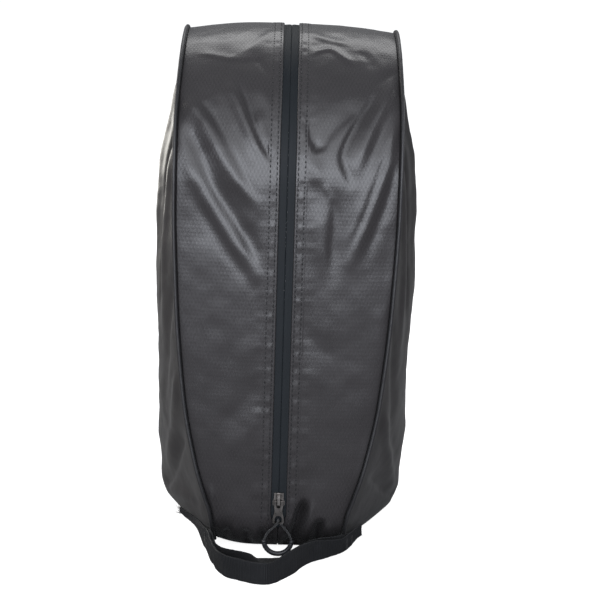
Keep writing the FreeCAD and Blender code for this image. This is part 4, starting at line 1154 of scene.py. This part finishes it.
def build_base():
    for name, inset, z_low, z_high, wave, seed, material, slot, replaced in SHEETS:
        ob = sheet_disc(name, base_ring(inset), z_low, z_high, wave, seed, material)
        settle(ob, slot, replaced)
    ring = closed_ring(2.6)
    path = np.c_[ring, 5.9 + corner_lift(ring[:, 0], ring[:, 1])]
    profile = np.array([(4.3, -0.35), (4.5, 0), (4.3, 0.35), (0, 0.45), (-4.3, 0.35), (-4.5, 0),
                        (-4.3, -0.35), (0, -0.45)])
    ob = tube_object("base_binding_tape", BINDING, tube(path, 1.0, profile))
    settle(ob, "base_fabric", "base_binding")


def build_base_stitches():
    """Stitches on the underside, along the edge."""
    ring = closed_ring(5.0)
    run = run_length(ring)
    at = np.arange(0, run[-1] - 2, 3.9)
    x, y = (np.interp(at, run, column) for column in ring.T)
    ahead_x, ahead_y = (np.interp(at + 0.5, run, column) for column in ring.T)
    along = unit(np.stack([ahead_x - x, ahead_y - y, 0 * x], -1))
    down = np.tile(np.array([[0.0, 0.0, -1.0]]), (len(at), 1))
    centres = np.stack([x, y, 0.22 + corner_lift(x, y)], -1)
    ob = capsules("base_stitches", centres, along, down, half=1.45, radius=0.26,
                  material=THREAD, flat=0.7)
    settle(ob, "cord")


# ---------------------------------------------------------------- hand loop
WEB_THICK, RIB_PITCH, WEB_STEP, FACE_POINTS = 1.45, 1.45, 0.24, 58
# Outer band: (x, y, z of the lower edge, z of the upper edge)
BAND = [
    (-77.6, -50.5, 10, 15.2), (-73.5, -56.5, 9.4, 14.6), (-68.8, -63.5, 8.8, 14),
    (-64.3, -71, 8, 13.6), (-60.4, -78.5, 6, 13.4), (-57.7, -86, 2.6, 13.2),
    (-55.8, -94.5, 1.2, 15.4), (-54.3, -102, 1.05, 16.4), (-52.6, -110.5, 1.05, 17.4),
    (-50.7, -120.5, 1.05, 18.4), (-48.7, -131, 1.05, 18.9), (-45.7, -142.5, 1.05, 18.9),
    (-39.7, -153.6, 1.05, 18.8), (-25.7, -163.2, 1.05, 18.2), (-11, -168, 1.05, 17.8),
    (-2.4, -164.2, 1.05, 17.9), (4.8, -155.6, 1.05, 19.2), (11, -145.8, 1.05, 19.8),
    (21.6, -127.6, 1.05, 18.6), (35.6, -115.2, 1.05, 16.4), (46.5, -106.3, 1.05, 13.8),
    (50.8, -101.4, 1.05, 14.2), (54.8, -95, 1.6, 15), (58.6, -84.7, 2.4, 14.4),
    (61.8, -76.2, 2.8, 12.6), (65.4, -70, 3.2, 12.2),
]
# Inner band: the same, then how far the upper edge leans back. Its middle lies down flat.
PLY = [
    (-52.7, -96.5, 1, 15.4, 0), (-51.4, -104, 1, 15.6, 0.2), (-49.2, -114, 1, 14.5, 0.3),
    (-46.6, -124, 1, 14.5, 0.3), (-41.2, -131.6, 1, 14.5, 0.3), (-35.4, -134.8, 1, 14.5, 0.4),
    (-25.5, -137, 1, 13.4, 1), (-18.5, -136.4, 1, 10.2, 3.4), (-13.5, -134.4, 1, 6.6, 6),
    (-8, -131, 0.9, 3.8, 7.8), (0, -128.8, 0.9, 3.1, 8.2), (8, -127.2, 0.9, 3.8, 7.8),
    (13.8, -123.6, 1, 6.6, 6), (18.4, -119, 1, 10, 3.4), (24, -112.4, 1, 13.2, 1),
    (31.5, -107, 1, 14.2, 0.3), (43.5, -102.4, 1, 14.2, 0.3), (49, -99, 1.4, 14.6, 0.2),
    (52.8, -95.6, 2.2, 15.2, 0),
]
BAR_TACKS = ((-54.0, -105.0), (-55.6, -96.6), (52.2, -99.4), (56.0, -91.0))  # (x, y)


def even(points, step, dims):
    """Smooth line at even steps, and its lengths. The first dims columns give the place."""
    line = catmull(points, 24)
    run = run_length(line[:, :dims])
    at = np.linspace(0, run[-1], max(3, int(run[-1] / step) + 1))
    return np.stack([np.interp(at, run, column) for column in line.T], -1), at


def path_normals(path):
    way = unit(np.gradient(path, axis=0))
    return np.stack([-way[:, 1], way[:, 0]], -1)


def web(name, stations, at, lean, material, ribs, ripple, seed):
    """A band of webbing on its edge, with ribs across it."""
    path, low, high = stations[:, :2], stations[:, 2], stations[:, 3]
    up = np.linspace(-1, 1, FACE_POINTS)
    half = 0.5 * WEB_THICK
    edge = np.sqrt(np.maximum(0.0, 1 - np.clip((np.abs(up) - 0.93) / 0.07, 0, 1) ** 2))
    face = half * np.maximum(edge, 0.35)
    ring_up = np.r_[up, up[::-1]]
    ring_off = np.r_[face, -face[::-1]]
    low = low + 0.22 * noise(at, 0 * at, 9.0, seed) + 0.12 * noise(at, 0 * at, 2.1, seed + 1)
    high = (high + 0.30 * noise(at, 0 * at + 4, 9.0, seed)
            + 0.12 * noise(at, 0 * at + 4, 2.1, seed + 1))
    half_tall = 0.5 * (high - low)[:, None]
    z = 0.5 * (low + high)[:, None] + half_tall * ring_up[None, :]
    along = np.repeat(at[:, None], len(ring_up), 1)
    up = np.repeat(ring_up[None, :], len(at), 0)
    sway = ripple * layered_noise(along, 9 * up, 16, seed + 2, 2) + lean[:, None] * ring_up
    body = smooth_step(1.0, 0.90, np.abs(up))
    uneven = along + 0.25 * noise(along, 6 * up, 8.0, seed + 7)
    rib = 0.5 - 0.5 * np.cos(2 * math.pi * uneven / RIB_PITCH)
    knots = 0.22 * np.cos(2 * math.pi * up * half_tall / 0.8
                          + math.pi * np.round(along / RIB_PITCH))
    cut = ribs * (rib + knots * (1 - rib)) * body
    off = ring_off[None, :] * (1 - cut / half) + sway
    normals = path_normals(path)
    points = np.stack([path[:, None, 0] + normals[:, None, 0] * off,
                       path[:, None, 1] + normals[:, None, 1] * off, z], -1)
    rows, cols = points.shape[:2]
    polys = ring_faces(rows, cols).tolist()
    for row, order in ((0, -1), (rows - 1, 1)):
        i = np.arange(FACE_POINTS - 1) + row * cols
        j = row * cols + (cols - 1 - np.arange(FACE_POINTS - 1))
        polys += np.stack([i, i + 1, j - 1, j], -1)[:, ::order].tolist()
    uv = np.stack([along, z], -1).reshape(-1, 2)
    ob = polygon_mesh(name, points.reshape(-1, 3), polys, uv, material)
    # face the mesh outward
    bm = bmesh.new()
    bm.from_mesh(ob.data)
    bmesh.ops.recalc_face_normals(bm, faces=bm.faces)
    bm.to_mesh(ob.data)
    bm.free()
    return ob


def hang(ob, *replaced):
    """Bakes a piece of the loop's transform into its mesh and hides the CAD pieces it stands for.
    """
    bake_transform(ob)
    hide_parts(*replaced)


def build_loop():
    band, at = even(BAND, WEB_STEP, 2)
    lean = 0.9 * np.sin(at / 21.0) * smooth_step(0, 30, at)
    ob = web("hand_loop_outer_webbing", band, at, lean, WEBBING, ribs=0.24, ripple=0.5, seed=101)
    hang(ob, "loop_outer_web", "loop_tail_left", "loop_tail_right")
    ply, at = even(PLY, WEB_STEP, 2)
    ob = web("hand_loop_inner_webbing", ply, at, ply[:, 4], PILE, ribs=0.08, ripple=0.35,
             seed=131)
    hang(ob, "loop_inner_web")
    build_bar_tacks(band[:, :2])
    build_frayed_yarns()


def build_bar_tacks(path):
    """Close rows of thread across the webbing."""
    normals = path_normals(path)
    centres, along, out = [], [], []
    for x, y in BAR_TACKS:
        k = np.argmin(np.hypot(path[:, 0] - x, path[:, 1] - y - 0.8))
        normal = normals[k] * np.sign(normals[k][0] * (-1 if x < 0 else 1))
        spot = path[k] + normal * 0.80
        for row, z in enumerate(np.arange(3.0, 11.8, 0.42)):
            centres.append((*spot, z))
            along.append((normals[k][1], -normals[k][0], 0.10 if row % 2 else -0.10))
            out.append((*normal, 0.0))
    ob = capsules("bar_tacks", np.array(centres), unit(np.array(along)), np.array(out),
                  half=1.7, radius=0.27, material=THREAD)
    hang(ob, "loop_bartacks")


def band_end(end, before):
    """Place, outward direction and crosswise direction at an end of the outer band."""
    end, before = np.array(end[:2]), np.array(before[:2])
    way = (end - before) / np.linalg.norm(end - before)
    return end, way, np.array([-way[1], way[0]])


def build_frayed_yarns():
    rng = np.random.default_rng(77)
    yarns = []
    # the cut left end
    end, way, across = band_end(BAND[0], BAND[1])
    t = np.linspace(0, 1, 6)[:, None]
    for k in range(46):
        z = 10.2 + 4.8 * (k + rng.uniform(0, 1)) / 46
        length = rng.uniform(1.4, 4.0) * (1.6 if z < 11.4 or z > 13.8 else 0.6)
        bend = rng.normal(0, 0.35, 3)
        start = np.array([*(end - way * 1.2 + across * rng.uniform(-0.4, 0.4)), z])
        aim = np.array([*way, 0.0])
        aim = aim + np.array([*(across * rng.normal(0, 0.30)), rng.normal(0, 0.25)])
        line = start + aim * t * (length + 1.2) + bend * t * t * 1.2
        line[:, 2] = np.maximum(0.4, line[:, 2])
        yarns.append(tube(line, np.linspace(0.17, 0.06, 6), circle(5)))
    # the folded right end
    end, way, across = band_end(BAND[-1], BAND[-2])
    t = np.linspace(0, 1, 5)[:, None]
    for k in range(16):
        z = 3.6 + 8.0 * (k + rng.uniform(0, 1)) / 16
        start = np.array([*(end - way * 1.0 + across * rng.uniform(-0.4, 0.4)), z])
        aim = np.array([*way, 0.0])
        aim = aim + np.array([*(across * rng.normal(0, 0.3)), rng.normal(0, 0.3)])
        line = start + aim * t * rng.uniform(1.4, 2.6)
        yarns.append(tube(line, np.linspace(0.15, 0.06, 5), circle(5)))
    settle(tube_object("frayed_yarns", WEBBING, *yarns), "webbing")


# ---------------------------------------------------------------- slider and pull
PULL_Y = -112.4
GRIP_R, GRIP_Z = 10.5, 13.6  # bend of the grip
CORD_LINE = [  # (x, y from the pull's plane, z)
    (-10.25, 0, 12), (-10.15, 0, 14.8), (-7.6, -0.5, 20.2), (-3.4, -1.3, 24.8),
    (-0.9, -1.62, 27.5), (-0.35, -1.45, 29.3), (0, 0, 30.2), (0.35, 1.43, 29.3),
    (0.9, 1.5, 27.5), (3.4, 1.25, 24.8), (7.6, 0.5, 20.2), (10.15, 0, 14.8), (10.25, 0, 12),
]


def build_pull_cord():
    path, at = even([(x, PULL_Y + y, z) for x, y, z in CORD_LINE], 0.22, 3)
    angles = np.linspace(0, 2 * math.pi, 18, endpoint=False)
    lobes = 1 - 0.11 * (0.5 - 0.5 * np.cos(3 * angles))
    strand = tube(path, 0.86, circle(18) * lobes[:, None], start_up=(0, 1, 0), twist=at * 1.55)
    ob = tube_object("pull_cord_twisted", CORD, strand)
    settle(ob, "cord", "pull_cord", node="pull_ring")


def build_pull_grip():
    """U-shaped grip with rounded ends, a groove near each end, and a ridge along its sides."""
    turn = np.radians(np.linspace(-184.0, 4.0, 90))
    path = np.stack([GRIP_R * np.cos(turn), np.full(len(turn), PULL_Y),
                     GRIP_Z + GRIP_R * np.sin(turn)], -1)
    share = np.linspace(0, 1, len(turn))
    to_end = np.minimum(share, 1 - share) * 34.4
    dome = 1 - (1 - np.clip(to_end / 1.1, 0, 1)) ** 2
    radius = 1.9 * np.sqrt(np.clip(dome, 0.12, 1)) * (1 - 0.10 * bell(to_end - 2.6, 0.45))
    profile = circle(28)
    profile = profile * (1 + 0.025 * bell(profile[:, 1:], 0.10))
    ob = tube_object("pull_grip_moulded", GRIP, tube(path, radius, profile, start_up=(0, 1, 0)))
    settle(ob, "moulded_grip", "pull_grip", node="pull_ring")


# CAD pieces kept as they are, with the width of their bevel
METAL_PARTS = (("slider_body", 0.28), ("slider_bridge", 0.30), ("lock_pin", 0.12),
               ("pull_tab", 0.22), ("zip_top_stops", 0.18), ("zip_bottom_stop", 0.2))


def dress_metal():
    for name, width in METAL_PARTS:
        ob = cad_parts[name]
        ob.data.materials.clear()
        ob.data.materials.append(METAL)
        bevel = ob.modifiers.new("edge", "BEVEL")
        bevel.width = width * MM
        bevel.segments = 3
        bevel.limit_method = "ANGLE"
        bevel.angle_limit = math.radians(32)
        bevel.harden_normals = False


# ---------------------------------------------------------------- stage (metres)
# (name, place, aim, size, watts, colour)
LIGHTS = (
    ("front_low", (-0.12, -1.25, 0.34), (0, 0, 0.285), (1.5, 0.50), 14.0, (0.89, 0.925, 1.0)),
    ("left_low", (-0.78, 1.30, 0.15), (-0.09, -0.02, 0.27), (0.8, 0.27), 2.3, (1.0, 0.97, 0.90)),
    ("front_high", (0.03, -1.0, 1.25), (0, 0, 0.38), (1.5, 0.50), 2.4, (0.92, 0.945, 1.0)),
    ("front_upper", (0.03, -1.25, 0.86), (0, 0, 0.40), (1.5, 0.50), 6.0, (0.92, 0.945, 1.0)),
    ("left_back", (-1.9, 0.5, 1.0), (0, 0, 0.25), (1.2, 1.4), 26.0, (1.0, 0.96, 0.90)),
    ("right_back", (1.9, 0.4, 1.0), (0, 0, 0.25), (1.0, 1.2), 10.5, (0.98, 0.98, 1.0)),
    ("top_back", (0.0, 1.3, 2.0), (0, 0, 0.3), (1.8, 0.8), 12.0, (1, 1, 1)),
)
FLOOR_HALF, FLOOR_Z = 30.0, -0.0002
CAMERA_PLACE, CAMERA_TILT, CAMERA_ROLL = (0, -1.3641, 0.5099), 77.0, 1.6  # degrees


def floor_mat():
    """Bright to the camera, dark to everything else."""
    t = new_material("floor_pale")
    seen = t.node("BsdfDiffuse", {"Color": (0.62, 0.62, 0.62)})
    glow = t.node("Emission", {"Color": (1, 1, 1), "Strength": 0.86})
    bright = t.node("AddShader", {0: seen.outputs[0], 1: glow.outputs[0]})
    other = t.node("BsdfDiffuse", {"Color": (0.16, 0.16, 0.16)})
    to_camera = t.node("LightPath").outputs["Is Camera Ray"]
    inputs = {0: to_camera, 1: other.outputs[0], 2: bright.outputs[0]}
    return t.finish(t.node("MixShader", inputs).outputs[0])


def build_floor():
    mesh = bpy.data.meshes.new("floor")
    k = FLOOR_HALF
    mesh.from_pydata([(-k, -k, 0), (k, -k, 0), (k, k, 0), (-k, k, 0)], [], [(0, 1, 2, 3)])
    mesh.materials.append(floor_mat())
    floor = add_object("floor", mesh)
    floor.location.z = FLOOR_Z
    return floor


def area_light(name, place, aim, size, power, colour):
    light = bpy.data.lights.new(name, "AREA")
    light.shape = "RECTANGLE"
    light.size, light.size_y = size
    light.energy = power
    light.color = colour
    ob = add_object(name, light)
    ob.location = place
    ob.rotation_euler = (Vector(aim) - Vector(place)).to_track_quat("-Z", "Y").to_euler()
    ob.visible_camera = False
    return ob


def build_world():
    """White to the camera; as light, a dim room that is lighter overhead than at the sides."""
    world = bpy.data.worlds.new("room")
    t = Shader(world, "OutputWorld")
    seen = t.node("Background", {"Color": (1, 1, 1), "Strength": 1.0})
    # this strength is only a fallback: the height of the ray drives it below
    dim = t.node("Background", {"Color": (0.92, 0.95, 1.0), "Strength": 0.17})
    ray = t.node("SeparateXYZ", {0: t.node("NewGeometry").outputs["Incoming"]})
    strength = t.node("MapRange", {
        "Value": ray.outputs[2], "From Min": 0.1, "From Max": -0.9, "To Min": 0.10,
        "To Max": 0.42})
    t.put(dim.inputs["Strength"], strength.outputs[0])
    to_camera = t.node("LightPath").outputs["Is Camera Ray"]
    inputs = {0: to_camera, 1: dim.outputs[0], 2: seen.outputs[0]}
    t.finish(t.node("MixShader", inputs).outputs[0])
    bpy.context.scene.world = world


def build_camera():
    camera = bpy.data.cameras.new("camera")
    camera.lens, camera.sensor_width = 105.0, 36.0
    camera.shift_x, camera.shift_y = 0.025, -0.0413
    camera.clip_start, camera.clip_end = 0.01, 200.0
    ob = add_object("camera", camera)
    ob.matrix_world = (Matrix.Translation(CAMERA_PLACE)
                       @ Matrix.Rotation(math.radians(CAMERA_TILT), 4, "X")
                       @ Matrix.Rotation(math.radians(CAMERA_ROLL), 4, "Z"))
    bpy.context.scene.camera = ob
    return ob


def build_stage():
    view = bpy.context.scene.view_settings
    view.view_transform = "Standard"
    view.look = "None"
    floor = build_floor()
    lights = [area_light(*entry) for entry in LIGHTS]
    build_world()
    build_camera()


# ---------------------------------------------------------------- build
for side in SIDE_NAMES:
    build_gusset(side)
    build_stitches(side)
    build_tape(side)
    build_coil(side)
    build_side(side)
    build_piping(side)
build_base()
build_base_stitches()
build_loop()
build_pull_cord()
build_pull_grip()
dress_metal()
build_stage()
